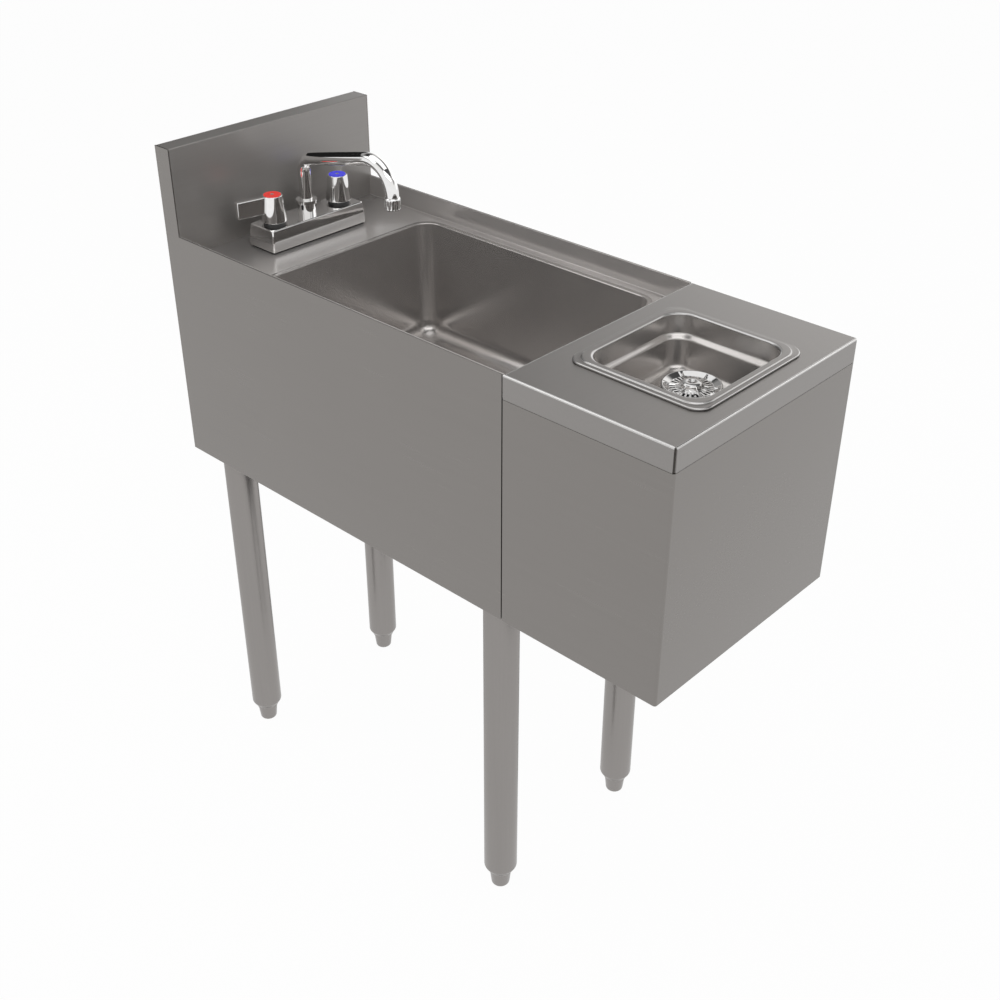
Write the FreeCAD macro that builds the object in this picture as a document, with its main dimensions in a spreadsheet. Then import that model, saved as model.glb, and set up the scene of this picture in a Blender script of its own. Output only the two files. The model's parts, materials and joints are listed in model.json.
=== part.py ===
# Glass rinser hand sink: a stainless underbar sink on four legs, with a deck faucet and a glass rinser box
# bolted to its front.
# Frame: origin on the floor under the middle of the outline, +X to the right seen from the front,
# +Y towards the backsplash, +Z up. Lengths are in millimetres and angles in degrees.

import FreeCAD
import Part
import Sketcher
import math
import os
import re

# Driving dimensions. Each is a cell of the sheet, under its own alias.
SIZES = {
    # sheet metal body
    "width": 304.8,
    "depth": 747.8,
    "splash_top": 852.1,
    "splash_depth": 25.0,
    "splash_fold": 150.0,
    "panel_top": 747.8,
    "skirt_bottom": 454.7,
    "deck_drop": 25.4,
    "sheet": 1.5,
    "bend": 1.2,
    # rinser box and its cap
    "box_depth": 205.1,
    "box_lip": 32.0,
    "box_bend": 3.0,
    "seam_gap": 1.6,
    "cap_flange": 26.4,
    "cap_line": 0.4,
    "cap_notch": 2.0,
    "clip_length": 40.0,
    "clip_drop": 30.0,
    "clip_rise": 18.0,
    "clip_spread": 100.0,
    # bolts that join the box to the body
    "bolt_radius": 3.0,
    "bolt_clearance": 0.3,
    "bolt_length": 14.0,
    "bolt_head_flats": 10.0,
    "bolt_head_height": 4.0,
    "bolt_nut_height": 5.0,
    "bolt_washer_radius": 8.0,
    "bolt_inset": 17.4,
    "bolt_low": 45.0,
    "bolt_high": 235.0,
    # bowl
    "back_ledge": 124.0,
    "front_ledge": 32.1,
    "side_ledge": 20.4,
    "bowl_depth": 152.0,
    "bowl_wall": 1.2,
    "bowl_corner": 22.0,
    "bowl_floor_radius": 20.0,
    "bowl_rim_radius": 2.2,
    "bowl_rim_flat": 4.0,
    # bowl drain
    "drain_flange_radius": 36.0,
    "drain_flange_height": 2.0,
    "drain_body_radius": 21.5,
    "drain_body_length": 45.0,
    "drain_hole_gap": 0.5,
    "grid_thickness": 4.0,
    "grid_hole_radius": 4.2,
    "grid_hole_circle": 12.0,
    "grid_holes": 6,
    "drain_gasket_radius": 33.0,
    "drain_gasket_height": 3.0,
    "drain_nut_flats": 58.0,
    "drain_nut_height": 8.0,
    "tail_radius": 19.05,
    "tail_neck_radius": 18.4,
    "tail_neck_show": 2.0,
    "tail_wall": 1.2,
    "tail_overlap": 25.0,
    "tail_length": 130.0,
    # legs, sockets and feet
    "leg_side_inset": 37.1,
    "leg_front_inset": 32.9,
    "leg_back_inset": 42.5,
    "leg_radius": 20.65,
    "leg_wall": 1.5,
    "leg_tip_radius": 15.4,
    "leg_taper": 11.0,
    "channel_width": 60.0,
    "channel_height": 25.0,
    "channel_gap": 12.0,
    "socket_wall": 2.8,
    "socket_depth": 55.0,
    "socket_plate": 3.0,
    "socket_flange_radius": 27.0,
    "set_screw_radius": 3.0,
    "set_screw_length": 9.0,
    "set_screw_drop": 40.0,
    "foot_height": 24.0,
    "foot_top_radius": 14.0,
    "foot_tip_radius": 11.6,
    "foot_tip_round": 4.0,
    "foot_stem_radius": 6.0,
    "foot_stem_top": 72.0,
    "insert_low": 40.0,
    "insert_height": 22.0,
    # rinser pan
    "pan_setback": 101.0,
    "pan_rim_width": 176.0,
    "pan_rim_length": 162.0,
    "pan_rim_rise": 4.2,
    "pan_rim_corner": 17.0,
    "pan_rim_round": 2.4,
    "pan_lip": 12.0,
    "pan_wall": 1.0,
    "pan_corner": 25.0,
    "pan_mouth_round": 2.0,
    "pan_shoulder": 25.0,
    "pan_step": 4.0,
    "pan_depth": 62.0,
    "pan_taper": 5.0,
    "pan_floor_radius": 10.0,
    "pan_hole_gap": 0.7,
    # rinser valve
    "rinser_gasket_radius": 24.0,
    "rinser_gasket_height": 1.5,
    "rinser_flange_radius": 26.0,
    "rinser_flange_height": 4.0,
    "rinser_barrel_radius": 14.0,
    "rinser_barrel_height": 10.0,
    "spring_pocket_radius": 9.0,
    "spring_pocket_floor": 2.5,
    "plunger_guide": 9.0,
    "plunger_radius": 3.6,
    "plunger_bore": 1.6,
    "plunger_stop_radius": 5.5,
    "plunger_stop_height": 1.5,
    "rinser_bore": 6.5,
    "shank_radius": 11.2,
    "inlet_radius": 10.3,
    "inlet_length": 26.0,
    "relief_length": 1.5,
    "relief_depth": 0.5,
    "rinser_shank_length": 44.0,
    "shank_nut_flats": 30.0,
    "shank_nut_height": 8.0,
    "spring_radius": 6.2,
    "spring_wire": 1.4,
    "spring_turns": 6,
    # rinser head
    "press_travel": 5.5,
    "press_clearance": 0.5,
    "rinser_right": 9.0,
    "rinser_forward": 3.0,
    "head_radius": 31.0,
    "head_height": 7.0,
    "head_edge": 3.0,
    "head_crown_radius": 9.0,
    "head_skirt": 5.5,
    "head_skirt_wall": 2.5,
    "head_socket": 4.0,
    "head_slots": 28,
    "head_slot_width": 2.6,
    "head_ribs": 6,
    "head_rib_width": 2.6,
    "head_rib_rise": 1.6,
    "nozzle_radius": 0.9,
    "nozzle_circle": 5.0,
    # pan drain
    "pan_drain_left": 38.0,
    "pan_drain_forward": 35.0,
    "pan_drain_flange": 13.0,
    "pan_drain_flange_height": 1.2,
    "pan_drain_radius": 10.4,
    "hose_radius": 9.5,
    "hose_length": 68.0,
    "hose_wall": 1.5,
    "pan_drain_length": 80.0,
    "pan_drain_nut_flats": 26.0,
    "pan_drain_nut_height": 6.0,
    # faucet body and its fixings
    "faucet_setback": 52.0,
    "faucet_length": 146.0,
    "faucet_depth": 46.0,
    "faucet_height": 28.6,
    "faucet_round": 1.2,
    "faucet_gasket_height": 1.5,
    "faucet_gasket_inset": 2.0,
    "handle_spread": 101.6,
    "shank_bore": 6.5,
    "shank_seat": 7.0,
    "shank_length": 50.0,
    "shank_washer_radius": 18.0,
    "shank_washer_height": 2.0,
    "shank_hole_radius": 12.5,
    "waterway_radius": 3.0,
    # valve cartridges and stems
    "cartridge_radius": 8.9,
    "cartridge_depth": 18.0,
    "cartridge_floor": 2.0,
    "cartridge_room": 7.0,
    "cartridge_room_radius": 7.2,
    "bonnet_radius": 13.0,
    "bonnet_rise": 3.0,
    "neck_radius": 7.0,
    "neck_rise": 13.0,
    "stem_radius": 4.0,
    "stem_disc_radius": 7.0,
    "stem_disc_height": 3.5,
    # lever handles
    "handle_height": 35.0,
    "handle_gap": 0.4,
    "hub_bottom_radius": 15.4,
    "hub_top_radius": 12.2,
    "hub_room_radius": 11.0,
    "hub_room_rise": 17.0,
    "hub_round": 0.6,
    "index_radius": 10.4,
    "index_seat": 2.0,
    "index_rise": 0.7,
    "index_dimple": 1.2,
    "screw_well_radius": 8.4,
    "screw_well": 4.0,
    "handle_web": 3.0,
    "screw_radius": 1.9,
    "screw_length": 14.0,
    "screw_head_radius": 4.0,
    "screw_head_height": 3.0,
    "lever_reach": 47.0,
    "lever_height": 20.0,
    "lever_drop": 0.6,
    "lever_thickness": 7.5,
    "lever_round": 0.8,
    "hot_angle": 168.0,
    "cold_angle": 45.0,
    # swing spout
    "spout_radius": 7.8,
    "spout_wall": 1.1,
    "spout_seat": 16.0,
    "spout_rise": 66.4,
    "spout_slope": 12.5,
    "spout_reach": 154.0,
    "spout_first_bend": 18.0,
    "spout_last_bend": 35.0,
    "spout_nut_radius": 11.0,
    "spout_nut_height": 13.0,
    "spout_collar_radius": 13.0,
    "spout_collar_height": 4.0,
    "outlet_rise": 42.0,
    "aerator_radius": 9.1,
    "aerator_length": 14.5,
    "aerator_lip": 6.0,
    "aerator_bore": 6.4,
    "screen_recess": 1.2,
    "screen_height": 2.0,
    # clearances shared by every fit
    "running_fit": 0.06,
    "seat_fit": 0.1,
    "body_gap": 0.3,
}

# Places worked out from the driving dimensions.
DERIVED = {
    "half_width": "width / 2",
    "inner_side": "half_width - sheet",
    "back": "depth / 2",
    "front": "-depth / 2",
    "splash_front": "back - splash_depth",
    "fold_bottom": "splash_top - splash_fold",
    "deck_top": "panel_top - deck_drop",
    "deck_under": "deck_top - sheet",
    "box_back": "front + box_depth",
    "box_top": "panel_top - cap_flange - cap_line",
    "body_front": "box_back + seam_gap",
    "cap_under": "panel_top - sheet",
    "bolt_x": "half_width - bolt_inset",
    "bowl_half_x": "half_width - side_ledge",
    "bowl_half_y": "(splash_front - back_ledge - body_front - front_ledge) / 2",
    "bowl_y": "splash_front - back_ledge - bowl_half_y",
    "bowl_floor": "deck_top - bowl_depth",
    "bowl_under": "bowl_floor - bowl_wall",
    "bowl_rim": "bowl_rim_radius + bowl_rim_flat",
    "drain_nut_top": "bowl_under - drain_gasket_height",
    "drain_body_bottom": "bowl_floor - drain_body_length",
    "tail_top": "drain_body_bottom + tail_overlap",
    "tail_bottom": "tail_top - tail_length",
    "tail_shoulder": "drain_body_bottom - tail_neck_show",
    "leg_x": "half_width - leg_side_inset",
    "leg_front": "body_front + leg_front_inset",
    "leg_back": "back - leg_back_inset",
    "channel_top": "bowl_under - channel_gap",
    "socket_top": "channel_top - sheet",
    "leg_top": "socket_top - socket_plate",
    "socket_bore": "leg_radius + seat_fit",
    "pan_y": "front + pan_setback",
    "pan_half_x": "pan_rim_width / 2 - pan_lip",
    "pan_half_y": "pan_rim_length / 2 - pan_lip",
    "rinser_x": "rinser_right",
    "rinser_y": "pan_y - rinser_forward",
    "rim_top": "panel_top + pan_rim_rise",
    "pan_shelf": "rim_top - pan_shoulder",
    "pan_floor": "rim_top - pan_depth",
    "pan_under": "pan_floor - pan_wall",
    "rinser_seat": "pan_floor + rinser_gasket_height",
    "rinser_flange_top": "rinser_seat + rinser_flange_height",
    "barrel_top": "rinser_flange_top + rinser_barrel_height",
    "spring_floor": "rinser_seat + spring_pocket_floor",
    "guide_bottom": "spring_floor - plunger_guide",
    "head_under": "barrel_top + press_travel + press_clearance",
    "head_top": "head_under + head_height",
    "pan_drain_x": "-pan_drain_left",
    "pan_drain_y": "pan_y - pan_drain_forward",
    "faucet_y": "splash_front - faucet_setback",
    "faucet_under": "deck_top + faucet_gasket_height",
    "faucet_top": "deck_top + faucet_height",
    "handle_x": "handle_spread / 2",
    "shank_top": "faucet_under + shank_seat",
    "shank_nut_top": "deck_under - shank_washer_height",
    "cartridge_bottom": "faucet_top - cartridge_depth",
    "room_floor": "cartridge_bottom + cartridge_floor",
    "room_top": "room_floor + cartridge_room",
    "bonnet_top": "faucet_top + bonnet_rise",
    "neck_top": "faucet_top + neck_rise",
    "hub_bottom": "bonnet_top + handle_gap",
    "hub_room_top": "faucet_top + hub_room_rise",
    "hub_top": "faucet_top + handle_height",
    "index_floor": "hub_top - index_seat",
    "well_floor": "index_floor - screw_well",
    "stem_top": "well_floor - handle_web",
    "lever_top": "hub_top - lever_drop",
    "spout_bottom": "faucet_top - spout_seat",
    "spout_corner": "faucet_top + spout_rise",
    "spout_fit": "spout_radius + running_fit",
    "outlet_y": "faucet_y - spout_reach",
    "outlet_bottom": "faucet_top + outlet_rise",
    "outlet_seat": "outlet_bottom + aerator_lip",
}

LEG_SPOTS = {
    "front_left": ("-leg_x", "leg_front"),
    "front_right": ("leg_x", "leg_front"),
    "back_left": ("-leg_x", "leg_back"),
    "back_right": ("leg_x", "leg_back"),
}

doc = FreeCAD.newDocument("glass_rinser_hand_sink")
sizes = doc.addObject("Spreadsheet::Sheet", "Sizes")
for row, (alias, size) in enumerate(SIZES.items(), start=1):
    sizes.set(f"A{row}", alias)
    sizes.set(f"B{row}", str(size))
    sizes.setAlias(f"B{row}", alias)
doc.recompute()

nodes = []


def keep(piece):
    """Count an object among the finished sub-parts."""
    nodes.append(piece)
    return piece


def ex(formula):
    """A formula in size names as an expression that reads the sheet, with derived names written out."""
    def swap(match):
        name = match.group()
        if name in SIZES:
            return f"Sizes.{name}"
        if name in DERIVED:
            return f"({ex(DERIVED[name])})"
        return name
    return re.sub(r"[a-z][a-z_]*", swap, formula)


def num(formula):
    """The present value of a formula."""
    return float(sizes.evalExpression(ex(formula)))


def new_body(label, x="0", y="0", z="0"):
    """An empty body whose own frame stands at the given place."""
    made = doc.addObject("PartDesign::Body", label)
    for axis, formula in zip("xyz", (x, y, z)):
        made.setExpression(f"Placement.Base.{axis}", ex(formula))
    return made


def new_sketch(owner, role, level="0"):
    """A sketch on one of the body's own planes, moved along that plane's normal."""
    made = owner.newObject("Sketcher::SketchObject", f"{owner.Name}_sketch")
    plane = next(item for item in owner.Origin.OriginFeatures if item.Role == role)
    made.AttachmentSupport = [(plane, "")]
    made.MapMode = "FlatFace"
    made.setExpression("AttachmentOffset.Base.z", ex(level))
    return made


def bind(sketch, constraint, formula):
    """Add a constraint whose value follows the sheet."""
    index = sketch.addConstraint(constraint)
    sketch.setExpression(f"Constraints[{index}]", ex(formula))


def pin_point(sketch, curve, point, u, v):
    """Bind a point of a curve to a place in the sketch."""
    bind(sketch, Sketcher.Constraint("DistanceX", -1, 1, curve, point, num(u)), u)
    bind(sketch, Sketcher.Constraint("DistanceY", -1, 1, curve, point, num(v)), v)


def draw_outline(sketch, points):
    """A closed outline of straight lines, with every corner bound to its two formulas."""
    corners = [FreeCAD.Vector(num(u), num(v), 0) for u, v in points]
    count = len(corners)
    first = sketch.GeometryCount
    for index in range(count):
        sketch.addGeometry(Part.LineSegment(corners[index], corners[(index + 1) % count]), False)
    for index in range(count):
        following = first + (index + 1) % count
        sketch.addConstraint(Sketcher.Constraint("Coincident", first + index, 2, following, 1))
    for index, (u, v) in enumerate(points):
        pin_point(sketch, first + index, 1, u, v)


def draw_circles(sketch, circles):
    """Circles, each given by its centre's two formulas and its radius."""
    normal = FreeCAD.Vector(0, 0, 1)
    for u, v, radius in circles:
        centre = FreeCAD.Vector(num(u), num(v), 0)
        curve = sketch.addGeometry(Part.Circle(centre, normal, num(radius)), False)
        pin_point(sketch, curve, 3, u, v)
        bind(sketch, Sketcher.Constraint("Radius", curve, num(radius)), radius)


def rectangle(low_u, low_v, high_u, high_v):
    """The four corners of a rectangle, for an outline."""
    return [(low_u, low_v), (high_u, low_v), (high_u, high_v), (low_u, high_v)]


def extrude(kind, owner, role, level, length, points=(), circles=(), reverse=False, symmetric=False):
    """A pad or pocket of an outline and circles drawn on one of the body's planes."""
    sketch = new_sketch(owner, role, level)
    if points:
        draw_outline(sketch, points)
    draw_circles(sketch, circles)
    made = owner.newObject(f"PartDesign::{kind}", f"{owner.Name}_{kind.lower()}")
    made.Profile = sketch
    made.Reversed = reverse
    if symmetric:
        made.SideType = "Symmetric"
    made.setExpression("Length", ex(length))
    doc.recompute()
    return made


def pad(owner, role, level, length, points=(), **options):
    """Add material along the plane's normal."""
    return extrude("Pad", owner, role, level, length, points, **options)


def pocket(owner, role, level, length, points=(), **options):
    """Remove material against the plane's normal, and check that something was removed."""
    before = owner.Tip.Shape.Volume
    made = extrude("Pocket", owner, role, level, length, points, **options)
    if not made.Shape.Volume < before:
        raise RuntimeError(f"{made.Name} cuts nothing")
    return made


def around(owner, feature, count):
    """Repeat a feature about the body's upright axis."""
    made = owner.newObject("PartDesign::PolarPattern", f"{owner.Name}_ring")
    made.Originals = [feature]
    made.Axis = (next(item for item in owner.Origin.OriginFeatures if item.Role == "Z_Axis"), [""])
    made.Angle = 360
    made.setExpression("Occurrences", ex(count))
    owner.Tip = made
    doc.recompute()


def round_edges(owner, radius, pick):
    """Fillet the edges of the body's latest feature that pick accepts."""
    tip = owner.Tip
    names = [f"Edge{index}" for index, edge in enumerate(tip.Shape.Edges, start=1) if pick(edge)]
    made = owner.newObject("PartDesign::Fillet", f"{owner.Name}_fillet")
    made.Base = (tip, names)
    made.setExpression("Radius", ex(radius))
    doc.recompute()


def fillet(label, base, radius, pick):
    """Fillet the edges of a boolean result that pick accepts."""
    doc.recompute()
    size = num(radius)
    made = doc.addObject("Part::Fillet", label)
    made.Base = base
    edges = enumerate(base.Shape.Edges, start=1)
    made.Edges = [(index, size, size) for index, edge in edges if pick(edge)]
    return made


def near(value, formula, tolerance=0.01):
    """Whether a coordinate is at the place that a formula gives."""
    return abs(value - num(formula)) < tolerance


def level_at(formula):
    """Pick the edges that lie flat at one height."""
    return lambda edge: near(edge.BoundBox.ZMin, formula) and near(edge.BoundBox.ZMax, formula)


def level_within(formula, half_x, half_y, middle_y):
    """Pick the edges that lie flat at one height, inside a rectangle seen from above."""
    def pick(edge):
        box = edge.BoundBox
        far_x = max(abs(box.XMin), abs(box.XMax))
        far_y = max(abs(box.YMin - num(middle_y)), abs(box.YMax - num(middle_y)))
        return level_at(formula)(edge) and far_x < num(half_x) and far_y < num(half_y)
    return pick


def upright(edge):
    """Pick the edges that climb from one level to another."""
    return edge.BoundBox.ZLength > max(edge.BoundBox.XLength, edge.BoundBox.YLength)


def turned(label, points, x="0", y="0"):
    """A piece turned about its own upright axis; each point is a radius and a height."""
    owner = new_body(label, x, y)
    sketch = new_sketch(owner, "XZ_Plane")
    draw_outline(sketch, points)
    made = owner.newObject("PartDesign::Revolution", f"{label}_turning")
    made.Profile = sketch
    made.ReferenceAxis = (sketch, ["V_Axis"])
    made.Angle = 360
    doc.recompute()
    return owner


def ring(label, bore, outer, low, high, x="0", y="0"):
    """A plain turned ring or tube."""
    return turned(label, rectangle(bore, low, outer, high), x, y)


def hexagon(flats):
    """The corners of a hexagon with the given size across its flats."""
    tip, half, side = f"({flats}) / sqrt(3)", f"({flats}) / sqrt(12)", f"({flats}) / 2"
    return [(tip, "0"), (half, side), (f"-{half}", side), (f"-{tip}", "0"), (f"-{half}", f"-{side}"),
            (half, f"-{side}")]


def hex_nut(label, flats, bore, low, height, x="0", y="0"):
    """A hexagon nut on an upright axis."""
    owner = new_body(label, x, y)
    pad(owner, "XY_Plane", low, height, hexagon(flats), circles=[("0", "0", bore)])
    return owner


def block(label, low, high):
    """A rectangular block between two corners."""
    made = doc.addObject("Part::Box", label)
    for axis, side, start, end in zip("xyz", ("Length", "Width", "Height"), low, high):
        made.setExpression(side, ex(f"({end}) - ({start})"))
        made.setExpression(f"Placement.Base.{axis}", ex(start))
    return made


def rounded_block(label, half_x, half_y, low, high, corner, y="0", floor=None, taper="0"):
    """A block with rounded upright edges; its floor may be rounded too, and its sides drawn in downwards."""
    owner = new_body(label, "0", y)
    base = pad(owner, "XY_Plane", high, f"({high}) - ({low})",
               rectangle(f"-({half_x})", f"-({half_y})", half_x, half_y), reverse=True)
    base.setExpression("TaperAngle", ex(f"-({taper})"))
    doc.recompute()
    round_edges(owner, corner, upright)
    if floor:
        round_edges(owner, floor, level_at(low))
    return owner


def cut(label, base, tool):
    """One object with another taken out of it."""
    made = doc.addObject("Part::Cut", label)
    made.Base = base
    made.Tool = tool
    made.Refine = True
    return made


def fuse(label, pieces):
    """Several objects welded into one."""
    made = doc.addObject("Part::MultiFuse", label)
    made.Shapes = pieces
    made.Refine = True
    return made


def group(label, pieces):
    """Separate solids that share one node."""
    made = doc.addObject("Part::Compound", label)
    made.Links = pieces
    return made


def make_side_panels():
    """Two flat side sheets, each with the end of the backsplash in one piece with it."""
    profile = [("body_front", "skirt_bottom"), ("back", "skirt_bottom"), ("back", "splash_top"),
               ("splash_front", "splash_top"), ("splash_front", "panel_top"), ("body_front", "panel_top")]
    for label, level in (("left_side_panel", "-half_width"), ("right_side_panel", "inner_side")):
        panel = keep(new_body(label))
        pad(panel, "YZ_Plane", level, "sheet", profile)


def make_backsplash():
    """A sheet folded over the top into a hollow splash, and the flat back panel below its fold."""
    splash = keep(new_body("backsplash"))
    profile = [("splash_front", "deck_under"), ("splash_front + sheet", "deck_under"),
               ("splash_front + sheet", "splash_top - sheet"), ("back - sheet", "splash_top - sheet"),
               ("back - sheet", "fold_bottom"), ("back", "fold_bottom"), ("back", "splash_top"),
               ("splash_front", "splash_top")]
    pad(splash, "YZ_Plane", "-inner_side", "2 * inner_side", profile)
    round_edges(splash, "bend", lambda edge: level_at("splash_top")(edge) and edge.BoundBox.XLength > 1)
    keep(block("back_panel", ("-inner_side", "back - sheet", "skirt_bottom"),
               ("inner_side", "back", "fold_bottom")))


def make_deck():
    """The sunk deck between two upturned rails, open for the bowl and for the faucet's shanks."""
    blank = new_body("deck_blank")
    rail = "inner_side - sheet"
    profile = [("-inner_side", "deck_under"), ("inner_side", "deck_under"), ("inner_side", "panel_top"),
               (rail, "panel_top"), (rail, "deck_top"), (f"-({rail})", "deck_top"),
               (f"-({rail})", "panel_top"), ("-inner_side", "panel_top")]
    pad(blank, "XZ_Plane", "-splash_front", "splash_front - body_front", profile)
    holes = [("-handle_x", "faucet_y", "shank_hole_radius"), ("handle_x", "faucet_y", "shank_hole_radius")]
    pocket(blank, "XY_Plane", "deck_top", "sheet", circles=holes)
    opening = rounded_block("deck_opening", "bowl_half_x + bowl_rim", "bowl_half_y + bowl_rim", "deck_under",
                            "deck_top", "bowl_corner + bowl_rim", "bowl_y")
    keep(cut("sink_deck", blank, opening))


def make_bowl():
    """A deep drawn bowl whose rim rolls out into the deck's opening, with a drain hole in its floor."""
    rim = rounded_block("bowl_rim_plate", "bowl_half_x + bowl_rim", "bowl_half_y + bowl_rim", "deck_under",
                        "deck_top", "bowl_corner + bowl_rim", "bowl_y")
    outside = rounded_block("bowl_outside", "bowl_half_x + bowl_wall", "bowl_half_y + bowl_wall",
                            "bowl_under", "deck_under", "bowl_corner + bowl_wall", "bowl_y",
                            "bowl_floor_radius + bowl_wall")
    inside = rounded_block("bowl_inside", "bowl_half_x", "bowl_half_y", "bowl_floor", "deck_top",
                           "bowl_corner", "bowl_y", "bowl_floor_radius")
    drain = ring("bowl_drain_hole", "0", "drain_body_radius + drain_hole_gap", "bowl_under", "bowl_floor",
                 "0", "bowl_y")
    under_rim = level_within("deck_under", "bowl_half_x + 2 * bowl_wall", "bowl_half_y + 2 * bowl_wall",
                             "bowl_y")
    mouth = level_within("deck_top", "bowl_half_x + bowl_wall", "bowl_half_y + bowl_wall", "bowl_y")
    blank = fuse("bowl_blank", [rim, outside])
    welded = fillet("bowl_welded", blank, "bowl_rim_radius - bowl_wall", under_rim)
    rolled = fillet("bowl_rolled", cut("bowl_hollow", welded, inside), "bowl_rim_radius", mouth)
    keep(cut("sink_bowl", rolled, drain))


def make_bowl_drain():
    """A grid drain clamped through the bowl's floor, and the tailpiece below it."""
    strainer = keep(turned("drain_strainer", [
        ("0", "bowl_floor + drain_flange_height - grid_thickness"),
        ("tail_neck_radius + seat_fit", "bowl_floor + drain_flange_height - grid_thickness"),
        ("tail_neck_radius + seat_fit", "drain_body_bottom"),
        ("drain_body_radius", "drain_body_bottom"), ("drain_body_radius", "bowl_floor"),
        ("drain_flange_radius", "bowl_floor"), ("drain_flange_radius", "bowl_floor + drain_flange_height"),
        ("0", "bowl_floor + drain_flange_height")], "0", "bowl_y"))
    grid_top = "bowl_floor + drain_flange_height"
    pocket(strainer, "XY_Plane", grid_top, "grid_thickness", circles=[("0", "0", "grid_hole_radius")])
    hole = pocket(strainer, "XY_Plane", grid_top, "grid_thickness",
                  circles=[("grid_hole_circle", "0", "grid_hole_radius")])
    around(strainer, hole, "grid_holes")
    keep(ring("drain_gasket", "drain_body_radius + seat_fit", "drain_gasket_radius", "drain_nut_top",
              "bowl_under", "0", "bowl_y"))
    keep(hex_nut("drain_locknut", "drain_nut_flats", "drain_body_radius + seat_fit",
                 "drain_nut_top - drain_nut_height", "drain_nut_height", "0", "bowl_y"))
    keep(turned("drain_tailpiece", [
        ("tail_radius - tail_wall", "tail_bottom"), ("tail_radius", "tail_bottom"),
        ("tail_radius", "tail_shoulder"), ("tail_neck_radius", "tail_shoulder"),
        ("tail_neck_radius", "tail_top"), ("tail_neck_radius - tail_wall", "tail_top"),
        ("tail_neck_radius - tail_wall", "tail_shoulder - tail_wall"),
        ("tail_radius - tail_wall", "tail_shoulder - tail_wall")], "0", "bowl_y"))


def make_channels():
    """Two channels across the body that carry the legs and tie the side panels together."""
    for label, row in (("front_cross_channel", "leg_front"), ("rear_cross_channel", "leg_back")):
        outer, inner = "channel_width / 2", "(channel_width / 2 - sheet)"
        foot = "channel_top - channel_height"
        profile = [(f"{row} - {outer}", foot), (f"{row} - {inner}", foot),
                   (f"{row} - {inner}", "socket_top"), (f"{row} + {inner}", "socket_top"),
                   (f"{row} + {inner}", foot), (f"{row} + {outer}", foot),
                   (f"{row} + {outer}", "channel_top"), (f"{row} - {outer}", "channel_top")]
        channel = keep(new_body(label))
        pad(channel, "YZ_Plane", "-inner_side", "2 * inner_side", profile)


def make_legs():
    """Four tube legs in welded sockets, each with a threaded insert and the bullet foot in it."""
    inserts = []
    screws = []
    socket_bottom = "socket_top - socket_depth"
    screw_height = "socket_top - set_screw_drop"
    tube = "leg_radius - leg_wall"
    for spot, (x, y) in LEG_SPOTS.items():
        socket = keep(turned(f"{spot}_leg_socket", [
            ("0", "leg_top"), ("socket_bore", "leg_top"), ("socket_bore", socket_bottom),
            ("socket_bore + socket_wall", socket_bottom), ("socket_bore + socket_wall", "leg_top"),
            ("socket_flange_radius", "leg_top"), ("socket_flange_radius", "socket_top"),
            ("0", "socket_top")], x, y))
        inward = x.startswith("-")
        pocket(socket, "YZ_Plane", "0", "socket_flange_radius", reverse=inward,
               circles=[("0", screw_height, "set_screw_radius + seat_fit")])
        keep(turned(f"{spot}_leg", [
            (tube, "leg_top"), (tube, "foot_height + leg_taper"),
            ("leg_tip_radius - leg_wall", "foot_height"), ("leg_tip_radius", "foot_height"),
            ("leg_radius", "foot_height + leg_taper"), ("leg_radius", "leg_top")], x, y))
        foot = keep(turned(f"{spot}_foot", [
            ("0", "0"), ("foot_tip_radius", "0"), ("foot_top_radius", "foot_height - body_gap"),
            ("foot_stem_radius", "foot_height - body_gap"), ("foot_stem_radius", "foot_stem_top"),
            ("0", "foot_stem_top")], x, y))
        round_edges(foot, "foot_tip_round", level_at("0"))
        inserts.append(ring(f"{spot}_insert", "foot_stem_radius + running_fit", f"{tube} - running_fit",
                            "insert_low", "insert_low + insert_height", x, y))
        screw = new_body(f"{spot}_set_screw", x, y)
        start = "leg_radius" if inward else "-leg_radius - set_screw_length"
        pad(screw, "YZ_Plane", start, "set_screw_length", circles=[("0", screw_height, "set_screw_radius")])
        screws.append(screw)
    keep(group("foot_inserts", inserts))
    keep(group("socket_set_screws", screws))


def bolt_spots():
    """The four places where the rinser box is bolted to the body."""
    return [(x, f"skirt_bottom + {rise}")
            for x in ("-bolt_x", "bolt_x") for rise in ("bolt_low", "bolt_high")]


def lay_along_y(owner):
    """Turn a body so that its own upright axis points to the back."""
    owner.Placement.Rotation = FreeCAD.Rotation(FreeCAD.Vector(1, 0, 0), -90)
    return owner


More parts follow.
